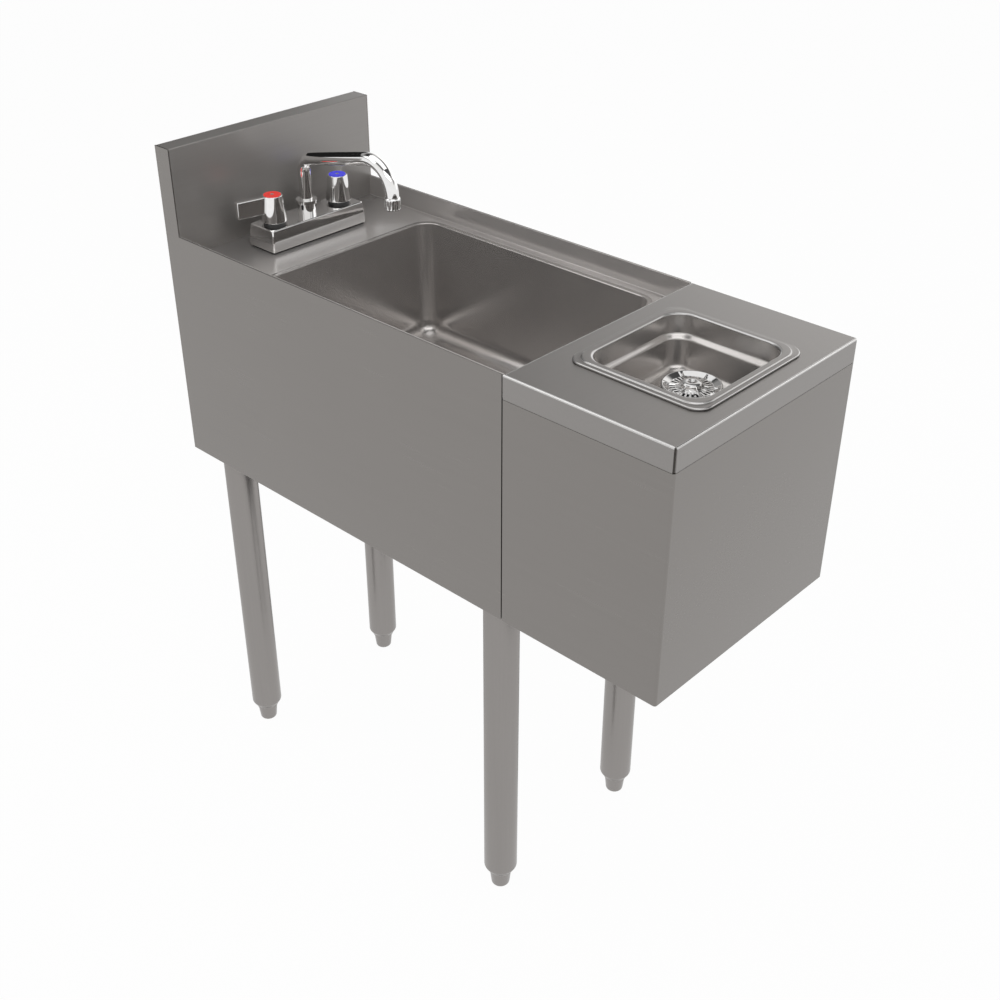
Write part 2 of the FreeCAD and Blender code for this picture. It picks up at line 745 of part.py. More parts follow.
def make_front_joint():
    """The front panel, and the bolts, spacers and nuts that hold the rinser box to it across the seam."""
    holes = [(x, z, "bolt_radius + bolt_clearance") for x, z in bolt_spots()]
    panel = keep(new_body("front_panel"))
    pad(panel, "XZ_Plane", "-body_front - sheet", "sheet",
        rectangle("-inner_side", "skirt_bottom", "inner_side", "deck_under"), circles=holes)
    bolts, spacers, nuts = [], [], []
    for index, (x, z) in enumerate(bolt_spots(), start=1):
        bolt = new_body(f"joint_bolt_{index}", x, "box_back - sheet", z)
        pad(bolt, "XY_Plane", "0", "bolt_length", circles=[("0", "0", "bolt_radius")])
        pad(bolt, "XY_Plane", "-bolt_head_height", "bolt_head_height", hexagon("bolt_head_flats"))
        bolts.append(lay_along_y(bolt))
        spacer = new_body(f"joint_spacer_{index}", x, "box_back", z)
        pad(spacer, "XY_Plane", "0", "seam_gap",
            circles=[("0", "0", "bolt_washer_radius"), ("0", "0", "bolt_radius + bolt_clearance")])
        spacers.append(lay_along_y(spacer))
        nut = new_body(f"joint_nut_{index}", x, "body_front + sheet", z)
        pad(nut, "XY_Plane", "0", "bolt_nut_height", hexagon("bolt_head_flats"),
            circles=[("0", "0", "bolt_radius + seat_fit")])
        nuts.append(lay_along_y(nut))
    keep(group("joint_bolts", bolts))
    keep(group("joint_spacers", spacers))
    keep(group("joint_nuts", nuts))


def make_rinser_box():
    """The folded box shell, open below, with lips bolted to the body, and the clips that hold its cap."""
    shell = new_body("rinser_box_blank")
    lip = "(half_width - box_lip)"
    inside = "front + sheet"
    profile = [("-half_width", "box_back"), ("-half_width", "front"), ("half_width", "front"),
               ("half_width", "box_back"), (lip, "box_back"), (lip, "box_back - sheet"),
               ("inner_side", "box_back - sheet"), ("inner_side", inside), ("-inner_side", inside),
               ("-inner_side", "box_back - sheet"), (f"-{lip}", "box_back - sheet"), (f"-{lip}", "box_back")]
    pad(shell, "XY_Plane", "skirt_bottom", "box_top - skirt_bottom", profile)
    round_edges(shell, "box_bend", lambda edge: upright(edge) and near(edge.BoundBox.YMin, "front"))
    round_edges(shell, "box_bend - sheet", lambda edge: upright(edge) and near(edge.BoundBox.YMin, inside))
    drill = new_body("box_drill")
    pad(drill, "XZ_Plane", "-box_back", "sheet",
        circles=[(x, z, "bolt_radius + bolt_clearance") for x, z in bolt_spots()])
    keep(cut("rinser_box", shell, drill))
    clips = []
    for side, start, end in (("left", "-inner_side", "-inner_side + sheet"),
                             ("right", "inner_side - sheet", "inner_side")):
        for place, sign in (("front", "-"), ("back", "+")):
            middle = f"(front + box_depth / 2 {sign} clip_spread / 2)"
            clips.append(block(f"cap_clip_{side}_{place}",
                               (start, f"{middle} - clip_length / 2", "box_top - clip_drop"),
                               (end, f"{middle} + clip_length / 2", "box_top + clip_rise")))
    keep(group("cap_clips", clips))


def make_cap():
    """The box's lid: four turned-down flanges with open corners, and an opening for the pan."""
    lid = new_body("cap_blank")
    short = "(half_width - cap_notch)"
    flange = "panel_top - cap_flange"
    drop = "cap_flange - sheet"
    pad(lid, "XY_Plane", "cap_under", "sheet", rectangle("-half_width", "front", "half_width", "box_back"))
    for sides in (("-half_width", "front + cap_notch", "-inner_side", "box_back - cap_notch"),
                  ("inner_side", "front + cap_notch", "half_width", "box_back - cap_notch"),
                  (f"-{short}", "front", short, "front + sheet"),
                  (f"-{short}", "box_back - sheet", short, "box_back")):
        pad(lid, "XY_Plane", flange, drop, rectangle(*sides))
    round_edges(lid, "bend", level_at("panel_top"))
    grow = "pan_wall + pan_hole_gap"
    opening = rounded_block("cap_opening", f"pan_half_x + {grow}", f"pan_half_y + {grow}", "cap_under",
                            "panel_top", f"pan_corner + {grow}", "pan_y")
    keep(cut("rinser_cap", lid, opening))


def stepped_tub(label, grow, top):
    """The pan's hollow, or with grow its outside: a straight mouth over a drawn-in lower part."""
    mouth = rounded_block(f"{label}_mouth", f"pan_half_x + {grow}", f"pan_half_y + {grow}",
                          f"pan_shelf - {grow}", top, f"pan_corner + {grow}", "pan_y",
                          f"pan_step / 2 + {grow}")
    drawn_in = f"- pan_step + {grow}"
    well = rounded_block(f"{label}_well", f"pan_half_x {drawn_in}", f"pan_half_y {drawn_in}",
                         f"pan_floor - {grow}", "pan_shelf", f"pan_corner {drawn_in}", "pan_y",
                         f"pan_floor_radius + {grow}", "pan_taper")
    return fuse(label, [mouth, well])


def make_pan():
    """A small drop-in pan with a turned-down rim that stands on the cap."""
    rim = rounded_block("pan_rim_plate", "pan_rim_width / 2", "pan_rim_length / 2", "panel_top", "rim_top",
                        "pan_rim_corner", "pan_y")
    round_edges(rim, "pan_rim_round", level_at("rim_top"))
    under_rim = rounded_block("pan_under_rim", "pan_rim_width / 2 - pan_rim_round",
                              "pan_rim_length / 2 - pan_rim_round", "panel_top", "rim_top - pan_wall",
                              "pan_rim_corner - pan_rim_round", "pan_y")
    skirt = cut("pan_rim", rim, under_rim)
    solid = fuse("pan_solid", [skirt, stepped_tub("pan_outside", "pan_wall", "rim_top")])
    hollow = cut("pan_hollow", solid, stepped_tub("pan_inside", "0", "rim_top"))
    mouth = level_within("rim_top", "pan_half_x + pan_wall", "pan_half_y + pan_wall", "pan_y")
    rolled = fillet("pan_rolled", hollow, "pan_mouth_round", mouth)
    holes = group("pan_holes", [
        ring("pan_rinser_hole", "0", "shank_radius + seat_fit", "pan_under", "pan_floor",
             "rinser_x", "rinser_y"),
        ring("pan_drain_hole", "0", "pan_drain_radius + seat_fit", "pan_under", "pan_floor", "pan_drain_x",
             "pan_drain_y")])
    keep(cut("rinser_pan", rolled, holes))


def free_end(radius, length, bottom, wider):
    """Profile of a pipe's free end: a plain stretch, a relief groove and the shoulder of the wider part."""
    groove = f"{radius} - relief_depth"
    end = f"{bottom} + {length}"
    shoulder = f"{end} + relief_length"
    return [(radius, bottom), (radius, end), (groove, end), (groove, shoulder), (wider, shoulder)]


def make_pan_drain():
    """The pan's own waste outlet, with an end for a hose, and its nut."""
    bottom = "pan_floor - pan_drain_length"
    bore = "hose_radius - hose_wall"
    flange_top = "pan_floor + pan_drain_flange_height"
    keep(turned("pan_drain", [
        (bore, bottom), *free_end("hose_radius", "hose_length", bottom, "pan_drain_radius"),
        ("pan_drain_radius", "pan_floor"), ("pan_drain_flange", "pan_floor"),
        ("pan_drain_flange", flange_top), (bore, flange_top)], "pan_drain_x", "pan_drain_y"))
    keep(hex_nut("pan_drain_locknut", "pan_drain_nut_flats", "pan_drain_radius + seat_fit",
                 "pan_under - pan_drain_nut_height", "pan_drain_nut_height", "pan_drain_x", "pan_drain_y"))


def make_rinser_valve():
    """The rinser's fixed parts: a valve body through the pan's floor, and its gasket."""
    keep(ring("rinser_gasket", "shank_radius + seat_fit", "rinser_gasket_radius", "pan_floor", "rinser_seat",
              "rinser_x", "rinser_y"))
    shank_bottom = "rinser_seat - rinser_shank_length"
    keep(turned("rinser_valve_body", [
        ("rinser_bore", shank_bottom),
        *free_end("inlet_radius", "inlet_length", shank_bottom, "shank_radius"),
        ("shank_radius", "rinser_seat"),
        ("rinser_flange_radius", "rinser_seat"), ("rinser_flange_radius", "rinser_flange_top"),
        ("rinser_barrel_radius", "rinser_flange_top"), ("rinser_barrel_radius", "barrel_top"),
        ("spring_pocket_radius", "barrel_top"), ("spring_pocket_radius", "spring_floor"),
        ("plunger_radius + running_fit", "spring_floor"), ("plunger_radius + running_fit", "guide_bottom"),
        ("rinser_bore", "guide_bottom")], "rinser_x", "rinser_y"))


def make_rinser_head():
    """The moving part of the rinser: a hollow plunger and a slotted spray head with ribs for the glass."""
    stop_top = "guide_bottom - body_gap"
    stop_bottom = "guide_bottom - body_gap - plunger_stop_height"
    keep(turned("rinser_plunger", [
        ("plunger_bore", stop_bottom), ("plunger_stop_radius", stop_bottom),
        ("plunger_stop_radius", stop_top), ("plunger_radius", stop_top),
        ("plunger_radius", "head_under + head_socket"), ("plunger_bore", "head_under + head_socket")],
        "rinser_x", "rinser_y"))
    skirt_bore = "head_radius - head_skirt_wall"
    socket = "plunger_radius + seat_fit"
    head = keep(turned("rinser_head", [
        ("0", "head_under + head_socket"), (socket, "head_under + head_socket"), (socket, "head_under"),
        (skirt_bore, "head_under"), (skirt_bore, "head_under - head_skirt"),
        ("head_radius", "head_under - head_skirt"), ("head_radius", "head_under + head_edge"),
        ("head_crown_radius", "head_top"), ("0", "head_top")], "rinser_x", "rinser_y"))
    slot = pocket(head, "YZ_Plane", "head_radius", "2 * head_skirt_wall",
                  rectangle("-head_slot_width / 2", "head_under - head_skirt",
                            "head_slot_width / 2", "head_under"))
    around(head, slot, "head_slots")
    rib_root = "head_crown_radius - head_rib_width"
    rib = pad(head, "XZ_Plane", "0", "head_rib_width", [
        (rib_root, "head_top - head_rib_rise"), ("head_radius - head_edge", "head_under + head_edge"),
        ("head_radius - head_edge", "head_under + head_edge + head_rib_rise"),
        (rib_root, "head_top + head_rib_rise")], symmetric=True)
    around(head, rib, "head_ribs")
    nozzle = pocket(head, "XY_Plane", "head_top", "head_height - head_socket",
                    circles=[("nozzle_circle / 2", "0", "nozzle_radius")])
    around(head, nozzle, "head_ribs")


def helix_point(angle, radius, low, pitch):
    """A point of a helix and its unit direction there."""
    climb = pitch / (2 * math.pi)
    point = FreeCAD.Vector(radius * math.cos(angle), radius * math.sin(angle), low + climb * angle)
    heading = FreeCAD.Vector(-radius * math.sin(angle), radius * math.cos(angle), climb).normalize()
    return point, heading


def arc_from(start, heading, end):
    """The arc that leaves start along heading and ends at end."""
    chord = end - start
    side = (heading - chord * (heading.dot(chord) / chord.dot(chord))).normalize()
    half_turn = heading.getAngle(chord)
    middle = (start + end) * 0.5 + side * (chord.Length / 2 * math.tan(half_turn / 2))
    return Part.Arc(start, middle, end).toShape()


def biarc(start, start_heading, end, end_heading):
    """Two arcs that join two points smoothly."""
    span = end - start
    both = start_heading + end_heading
    spread = 2 * (1 - start_heading.dot(end_heading))
    reach = (math.sqrt(span.dot(both) ** 2 + spread * span.dot(span)) - span.dot(both)) / spread
    middle = (start + end + (start_heading - end_heading) * reach) * 0.5
    second = arc_from(end, end_heading * -1, middle)
    return [arc_from(start, start_heading, middle), second.reversed()]


def make_spring():
    """The rinser's return spring: one wire wound between the valve body's pocket and the head."""
    radius, wire, turns = num("spring_radius"), num("spring_wire"), int(num("spring_turns"))
    low = num("spring_floor") + wire / 2
    pitch = (num("head_under - spring_floor") - wire) / turns
    stations = [helix_point(math.pi / 2 * quarter, radius, low, pitch) for quarter in range(4 * turns + 1)]
    edges = []
    for (start, start_heading), (end, end_heading) in zip(stations, stations[1:]):
        edges.extend(biarc(start, start_heading, end, end_heading))
    path = Part.Wire(edges)
    first, heading = stations[0]
    section = Part.Wire([Part.Circle(first, heading, wire / 2).toShape()])
    spring = keep(doc.addObject("Part::Feature", "rinser_spring"))
    spring.Shape = path.makePipeShell([section], True, False)
    spring.Placement.Base = FreeCAD.Vector(num("rinser_x"), num("rinser_y"), 0)
    print("spring: gap between turns", round(pitch - wire, 2), "mm")
    print("spring: wire length", round(path.Length, 1), "mm")


def make_faucet_body():
    """The faucet's box casting with its bores, its deck gasket, and its shanks and their washers."""
    casting = keep(new_body("faucet_body", "0", "faucet_y"))
    pad(casting, "XY_Plane", "faucet_under", "faucet_top - faucet_under",
        rectangle("-faucet_length / 2", "-faucet_depth / 2", "faucet_length / 2", "faucet_depth / 2"))
    round_edges(casting, "faucet_round", lambda edge: upright(edge) or level_at("faucet_top")(edge))
    both = ("-handle_x", "handle_x")
    pocket(casting, "XY_Plane", "faucet_top", "cartridge_depth",
           circles=[(x, "0", "cartridge_radius + seat_fit") for x in both])
    pocket(casting, "XY_Plane", "faucet_top", "spout_seat", circles=[("0", "0", "spout_fit")])
    pocket(casting, "XY_Plane", "faucet_under", "shank_seat", reverse=True,
           circles=[(x, "0", "shank_radius + seat_fit") for x in both])
    pocket(casting, "XY_Plane", "cartridge_bottom", "cartridge_bottom - shank_top",
           circles=[(x, "0", "waterway_radius") for x in both])
    gasket = keep(new_body("faucet_gasket", "0", "faucet_y"))
    half_length = "(faucet_length / 2 - faucet_gasket_inset)"
    half_depth = "(faucet_depth / 2 - faucet_gasket_inset)"
    pad(gasket, "XY_Plane", "deck_top", "faucet_gasket_height",
        rectangle(f"-{half_length}", f"-{half_depth}", half_length, half_depth),
        circles=[(x, "0", "shank_radius + seat_fit") for x in both])
    shanks, washers = [], []
    shank_bottom = "deck_under - shank_length"
    for side, x in zip(("hot", "cold"), both):
        shanks.append(turned(f"{side}_shank", [
            ("shank_bore", shank_bottom),
            *free_end("inlet_radius", "inlet_length", shank_bottom, "shank_radius"),
            ("shank_radius", "shank_top"), ("shank_bore", "shank_top")], x, "faucet_y"))
        washers.append(ring(f"{side}_shank_washer", "shank_radius + seat_fit", "shank_washer_radius",
                            "shank_nut_top", "deck_under", x, "faucet_y"))
    keep(group("faucet_shanks", shanks))
    keep(group("faucet_shank_washers", washers))


def make_shank_locknuts():
    """The three like nuts on the faucet's two shanks and the rinser's one."""
    nuts = []
    for owner, top, x, y in (("hot", "shank_nut_top", "-handle_x", "faucet_y"),
                             ("cold", "shank_nut_top", "handle_x", "faucet_y"),
                             ("rinser", "pan_under", "rinser_x", "rinser_y")):
        nuts.append(hex_nut(f"{owner}_shank_locknut", "shank_nut_flats", "shank_radius + seat_fit",
                            f"{top} - shank_nut_height", "shank_nut_height", x, y))
    keep(group("shank_locknuts", nuts))


def make_valve(side, x, angle):
    """One valve of the faucet: a fixed cartridge, and the stem, handle, screw and index that turn in it."""
    keep(turned(f"{side}_cartridge", [
        ("waterway_radius", "cartridge_bottom"), ("cartridge_radius", "cartridge_bottom"),
        ("cartridge_radius", "faucet_top"), ("bonnet_radius", "faucet_top"), ("bonnet_radius", "bonnet_top"),
        ("neck_radius", "bonnet_top"), ("neck_radius", "neck_top"),
        ("stem_radius + running_fit", "neck_top"),
        ("stem_radius + running_fit", "room_top"), ("cartridge_room_radius", "room_top"),
        ("cartridge_room_radius", "room_floor"), ("waterway_radius", "room_floor")], x, "faucet_y"))
    disc_top = "room_top - body_gap"
    screw_tip = "well_floor - screw_length"
    keep(turned(f"{side}_stem", [
        ("0", f"{disc_top} - stem_disc_height"), ("stem_disc_radius", f"{disc_top} - stem_disc_height"),
        ("stem_disc_radius", disc_top), ("stem_radius", disc_top), ("stem_radius", "stem_top"),
        ("screw_radius + running_fit", "stem_top"), ("screw_radius + running_fit", screw_tip),
        ("0", screw_tip)], x, "faucet_y"))
    keep(turned(f"{side}_handle_screw", [
        ("0", screw_tip), ("screw_radius", screw_tip), ("screw_radius", "well_floor"),
        ("screw_head_radius", "well_floor"), ("screw_head_radius", "well_floor + screw_head_height"),
        ("0", "well_floor + screw_head_height")], x, "faucet_y"))
    index = keep(turned(f"{side}_index", [
        ("index_dimple", "index_floor"), ("index_radius", "index_floor"),
        ("index_radius", "hub_top + index_rise"), ("index_dimple", "hub_top + index_rise")],
        x, "faucet_y"))
    round_edges(index, "index_rise / 2", level_at("hub_top + index_rise"))
    handle = keep(turned(f"{side}_handle", [
        ("hub_room_radius", "hub_bottom"), ("hub_bottom_radius", "hub_bottom"),
        ("hub_top_radius", "hub_top"),
        ("index_radius + seat_fit", "hub_top"), ("index_radius + seat_fit", "index_floor"),
        ("screw_well_radius", "index_floor"), ("screw_well_radius", "well_floor"),
        ("screw_radius + seat_fit", "well_floor"), ("screw_radius + seat_fit", "stem_top"),
        ("stem_radius + running_fit", "stem_top"), ("stem_radius + running_fit", "hub_room_top"),
        ("hub_room_radius", "hub_room_top")], x, "faucet_y"))
    round_edges(handle, "hub_round", lambda edge: any(
        level_at(level)(edge) and near(edge.BoundBox.XMax, radius)
        for level, radius in (("hub_bottom", "hub_bottom_radius"), ("hub_top", "hub_top_radius"))))
    lever_root = "(hub_room_radius + hub_top_radius) / 2"
    pad(handle, "XZ_Plane", "0", "lever_thickness",
        rectangle(lever_root, "lever_top - lever_height", "lever_reach", "lever_top"), symmetric=True)
    round_edges(handle, "lever_round", lambda edge: edge.BoundBox.XMin > num("hub_bottom_radius")
                or near(edge.BoundBox.XMax, "lever_reach"))
    handle.setExpression("Placement.Rotation.Angle", ex(angle))


def make_spout():
    """The swing spout: a tube bent twice, the nut that holds it, and the aerator on its end."""
    spout = keep(new_body("spout_tube", "0", "faucet_y"))
    spine = new_sketch(spout, "YZ_Plane")
    slope = math.radians(num("spout_slope"))
    corner, reach = num("spout_corner"), num("spout_reach")
    first, last = num("spout_first_bend"), num("spout_last_bend")
    turn = math.pi / 2 - slope
    first_run = first * math.tan(turn / 2)
    last_run = last * math.tan((math.pi - turn) / 2)
    peak = corner + reach * math.tan(slope)
    normal = FreeCAD.Vector(0, 0, 1)
    lower_centre = FreeCAD.Vector(-first, corner - first_run, 0)
    upper_centre = FreeCAD.Vector(last - reach, peak - last_run, 0)
    lower = Part.ArcOfCircle(Part.Circle(lower_centre, normal, first), 0, turn)
    upper = Part.ArcOfCircle(Part.Circle(upper_centre, normal, last), turn, math.pi)
    inlet = FreeCAD.Vector(0, num("spout_bottom"), 0)
    outlet = FreeCAD.Vector(-reach, num("outlet_seat"), 0)
    riser, bend, run, crook, drop = spine.addGeometry([
        Part.LineSegment(inlet, lower.StartPoint), lower,
        Part.LineSegment(lower.EndPoint, upper.StartPoint), upper,
        Part.LineSegment(upper.EndPoint, outlet)], False)
    for before, after in ((riser, bend), (bend, run), (run, crook), (crook, drop)):
        spine.addConstraint(Sketcher.Constraint("Tangent", before, 2, after, 1))
    for upright_line in (riser, drop):
        spine.addConstraint(Sketcher.Constraint("Vertical", upright_line))
    bind(spine, Sketcher.Constraint("Radius", bend, first), "spout_first_bend")
    bind(spine, Sketcher.Constraint("Radius", crook, last), "spout_last_bend")
    bind(spine, Sketcher.Constraint("Angle", run, math.pi - slope), "180 - spout_slope")
    pin_point(spine, riser, 1, "0", "spout_bottom")
    pin_point(spine, drop, 2, "-spout_reach", "outlet_seat")
    meeting = spine.addGeometry(Part.Point(FreeCAD.Vector(0, corner, 0)), True)
    for line in (riser, run):
        spine.addConstraint(Sketcher.Constraint("PointOnObject", meeting, 1, line))
    bind(spine, Sketcher.Constraint("DistanceY", -1, 1, meeting, 1, corner), "spout_corner")
    section = new_sketch(spout, "XY_Plane", "spout_bottom")
    draw_circles(section, [("0", "0", "spout_radius"), ("0", "0", "spout_radius - spout_wall")])
    doc.recompute()
    pipe = spout.newObject("PartDesign::AdditivePipe", "spout_pipe")
    pipe.Profile = section
    pipe.Spine = (spine, [f"Edge{index + 1}" for index in (riser, bend, run, crook, drop)])
    doc.recompute()
    nut_top = "faucet_top + spout_nut_height"
    keep(turned("spout_nut", [
        ("spout_fit", "faucet_top"), ("spout_nut_radius", "faucet_top"), ("spout_nut_radius", nut_top),
        ("spout_collar_radius", nut_top), ("spout_collar_radius", f"{nut_top} + spout_collar_height"),
        ("spout_fit", f"{nut_top} + spout_collar_height")], "0", "faucet_y"))
    keep(turned("aerator", [
        ("aerator_bore + seat_fit", "outlet_bottom"), ("aerator_radius", "outlet_bottom"),
        ("aerator_radius", "outlet_bottom + aerator_length"),
        ("spout_radius + seat_fit", "outlet_bottom + aerator_length"),
        ("spout_radius + seat_fit", "outlet_seat"), ("aerator_bore + seat_fit", "outlet_seat")],
        "0", "outlet_y"))
    keep(ring("aerator_screen", "0", "aerator_bore", "outlet_bottom + screen_recess",
              "outlet_bottom + screen_recess + screen_height", "0", "outlet_y"))


make_side_panels()
make_backsplash()
make_deck()
make_bowl()
make_bowl_drain()
make_channels()
make_legs()
make_front_joint()
make_rinser_box()
make_cap()
make_pan()
make_pan_drain()
make_rinser_valve()
make_rinser_head()
make_spring()
make_faucet_body()
make_shank_locknuts()
make_valve("hot", "-handle_x", "hot_angle")
make_valve("cold", "handle_x", "cold_angle")
make_spout()

doc.recompute()
for item in doc.Objects:
    if "Invalid" in item.State or "Error" in item.State:
        raise RuntimeError(f"{item.Label} failed: {item.State}")
for node in nodes:
    if node.Shape.isNull() or not node.Shape.isValid() or not node.Shape.Solids:
        raise RuntimeError(f"{node.Label} has no valid solid")

os.makedirs("parts", exist_ok=True)
for node in nodes:
    node.Shape.exportStep(f"parts/{node.Label}.step")
print(len(nodes), "sub-parts written")
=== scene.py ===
# %% [markdown]
# Glass rinser hand sink: a narrow stainless underbar unit with a deep bowl, a lever faucet and a small
# pan with a spray head for glasses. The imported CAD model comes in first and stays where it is.
# Everything below only dresses it: finishes for the nodes whose shape is already right, and finer
# surfaces for the others.

# %% Load the frame
import json

import bmesh
import bpy
import numpy as np
from mathutils import Matrix, Vector


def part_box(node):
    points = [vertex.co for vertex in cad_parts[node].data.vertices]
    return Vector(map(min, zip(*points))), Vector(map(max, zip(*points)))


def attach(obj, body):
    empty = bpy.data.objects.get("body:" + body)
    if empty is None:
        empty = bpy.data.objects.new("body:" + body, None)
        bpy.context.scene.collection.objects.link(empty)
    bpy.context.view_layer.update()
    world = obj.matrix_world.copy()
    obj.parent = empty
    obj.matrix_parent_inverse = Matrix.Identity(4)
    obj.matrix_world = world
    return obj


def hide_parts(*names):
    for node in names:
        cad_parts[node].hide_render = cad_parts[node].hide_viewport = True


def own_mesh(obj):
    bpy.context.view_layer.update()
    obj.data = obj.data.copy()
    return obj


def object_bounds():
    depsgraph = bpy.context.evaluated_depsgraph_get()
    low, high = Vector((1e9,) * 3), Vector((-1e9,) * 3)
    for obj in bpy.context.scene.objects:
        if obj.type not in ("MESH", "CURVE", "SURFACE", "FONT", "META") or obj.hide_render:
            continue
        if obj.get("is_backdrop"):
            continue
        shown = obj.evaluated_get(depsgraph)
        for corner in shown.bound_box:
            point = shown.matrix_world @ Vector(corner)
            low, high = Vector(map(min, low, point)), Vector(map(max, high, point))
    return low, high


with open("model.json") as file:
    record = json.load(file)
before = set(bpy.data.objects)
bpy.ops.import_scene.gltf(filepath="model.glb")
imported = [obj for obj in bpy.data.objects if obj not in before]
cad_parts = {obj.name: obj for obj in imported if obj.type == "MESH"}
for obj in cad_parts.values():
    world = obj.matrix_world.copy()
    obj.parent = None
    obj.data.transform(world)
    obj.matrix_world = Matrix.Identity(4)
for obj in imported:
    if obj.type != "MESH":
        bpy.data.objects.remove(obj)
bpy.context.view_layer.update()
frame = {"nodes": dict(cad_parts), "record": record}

# %% [markdown]
# The camera repeats the photograph's view. Its lens, place and turn were worked out from the straight
# edges of the body, so they are plain numbers here. Yaw turns from the back of the sink towards its
# right side.

# %% Camera
SENSOR_MM, LENS_MM = 36.0, 48.945
EYE = Vector((-1.004768, -0.955388, 1.337673))
YAW, PITCH, ROLL = np.radians((47.188, 32.214, 0.176))

ahead = Vector((np.sin(YAW) * np.cos(PITCH), np.cos(YAW) * np.cos(PITCH), -np.sin(PITCH)))
level = Vector((np.cos(YAW), -np.sin(YAW), 0))
upright = level.cross(ahead)
right = level * np.cos(ROLL) + upright * np.sin(ROLL)
up = upright * np.cos(ROLL) - level * np.sin(ROLL)

lens = bpy.data.cameras.new("photo_camera")
lens.sensor_width = SENSOR_MM
lens.lens = LENS_MM
camera = bpy.data.objects.new("photo_camera", lens)
camera.matrix_world = Matrix.Translation(EYE) @ Matrix((right, up, -ahead)).transposed().to_4x4()
bpy.context.collection.objects.link(camera)
bpy.context.scene.camera = camera
bpy.context.scene.view_settings.view_transform = "Standard"
print("camera looks along", [round(part, 3) for part in ahead])

# %% [markdown]
# Shader maths reads better as expressions than as lists of nodes. A Field wraps one output socket, and
# each operator on it adds a Math node. A Finish holds the nodes of one material, and its node method
# adds any other node: first its settings, then the values or links of its sockets.

# %% Shader helpers
MM = 0.001

# A Mix node has sockets for each kind of value. These are the ones for colours.
MIX_LOW, MIX_HIGH, MIX_RESULT = 6, 7, 2


class Field:
    """An output socket that takes part in arithmetic."""

    def __init__(self, finish, socket):
        self.finish = finish
        self.socket = socket

    def _math(self, operation, first, second):
        return self.finish.node("ShaderNodeMath", {"operation": operation}, {0: first, 1: second})

    def __add__(self, other):
        return self._math("ADD", self, other)

    __radd__ = __add__

    def __rsub__(self, other):
        return self._math("SUBTRACT", other, self)

    def __mul__(self, other):
        return self._math("MULTIPLY", self, other)

    def above(self, edge):
        """1 where the value is above the edge, else 0."""
        return self._math("GREATER_THAN", self, edge)


class Finish:
    """A node tree under construction, of a material or of the world."""

    def __init__(self, owner, output_kind):
        owner.use_nodes = True
        self.owner = owner
        self.tree = owner.node_tree
        self.tree.nodes.clear()
        self.output = self.tree.nodes.new(output_kind)

    def node(self, kind, settings=None, inputs=None, output=0):
        made = self.tree.nodes.new(kind)
        for name, value in (settings or {}).items():
            setattr(made, name, value)
        for name, value in (inputs or {}).items():
            if isinstance(value, Field):
                self.tree.links.new(value.socket, made.inputs[name])
            else:
                made.inputs[name].default_value = value
        return Field(self, made.outputs[output])

    def place(self):
        """Object coordinates, in metres."""
        return self.node("ShaderNodeTexCoord", output="Object")

    def height(self):
        """Height above the floor, in metres."""
        return self.node("ShaderNodeSeparateXYZ", {}, {"Vector": self.place()}, "Z")

    def from_axis(self, centre):
        """Distance in metres from an upright axis, whose place is in millimetres."""
        return self.node("ShaderNodeVectorMath", {"operation": "DISTANCE"}, {
            0: self.scaled(self.place(), (1, 1, 0)), 1: (*np.multiply(centre, MM), 0)}, "Value")

    def scaled(self, vector, scale):
        return self.node("ShaderNodeMapping", {}, {"Vector": vector, "Scale": scale})

    def noise(self, vector, scale, detail):
        return self.node("ShaderNodeTexNoise", {}, {"Vector": vector, "Scale": scale, "Detail": detail})

    def tint(self, amount, low, high):
        """A colour between two, each of them a colour or a field, by a value from 0 to 1."""
        low, high = (end if isinstance(end, Field) else (*end, 1) for end in (low, high))
        return self.node("ShaderNodeMix", {"data_type": "RGBA"}, {
            "Factor": amount, MIX_LOW: low, MIX_HIGH: high}, MIX_RESULT)

    def bump(self, height, strength, distance):
        return self.node("ShaderNodeBump", {}, {
            "Height": height, "Strength": strength, "Distance": distance})

    def close(self, shader):
        self.tree.links.new(shader.socket, self.output.inputs["Surface"])
        return self.owner


def new_finish(name):
    """An empty material."""
    return Finish(bpy.data.materials.new(name), "ShaderNodeOutputMaterial")


def shades(colour, spread):
    """A colour, a little darker and a little lighter."""
    return np.array(colour) * (1 - spread), np.array(colour) * (1 + spread)


# %% [markdown]
# Brushed sheet has fine scratches in one direction. Noise that is stretched along that direction gives
# them: long streaks that change the roughness, and finer ones that the bump node turns into a slight
# relief. On a piece with bends, the bends are painted bright: a painted highlight that stands in for the
# line of light along each bend. The height tells them apart: the level parts keep the brushed colour,
# and what lies between gets the painted highlight.

# %% Brushed sheet
# colour of the painted highlight on bends and folds
BEND_HIGHLIGHT_PAINT = (0.56, 0.553, 0.546)
STRETCH, STREAK, LEVEL_GAP = 60.0, 0.05, 0.12
# noise cells per metre, along the scratches
FINE_SCRATCHES, BROAD_SCRATCHES, SHEET_CLOUDS = 22.0, 5.0, 7.0


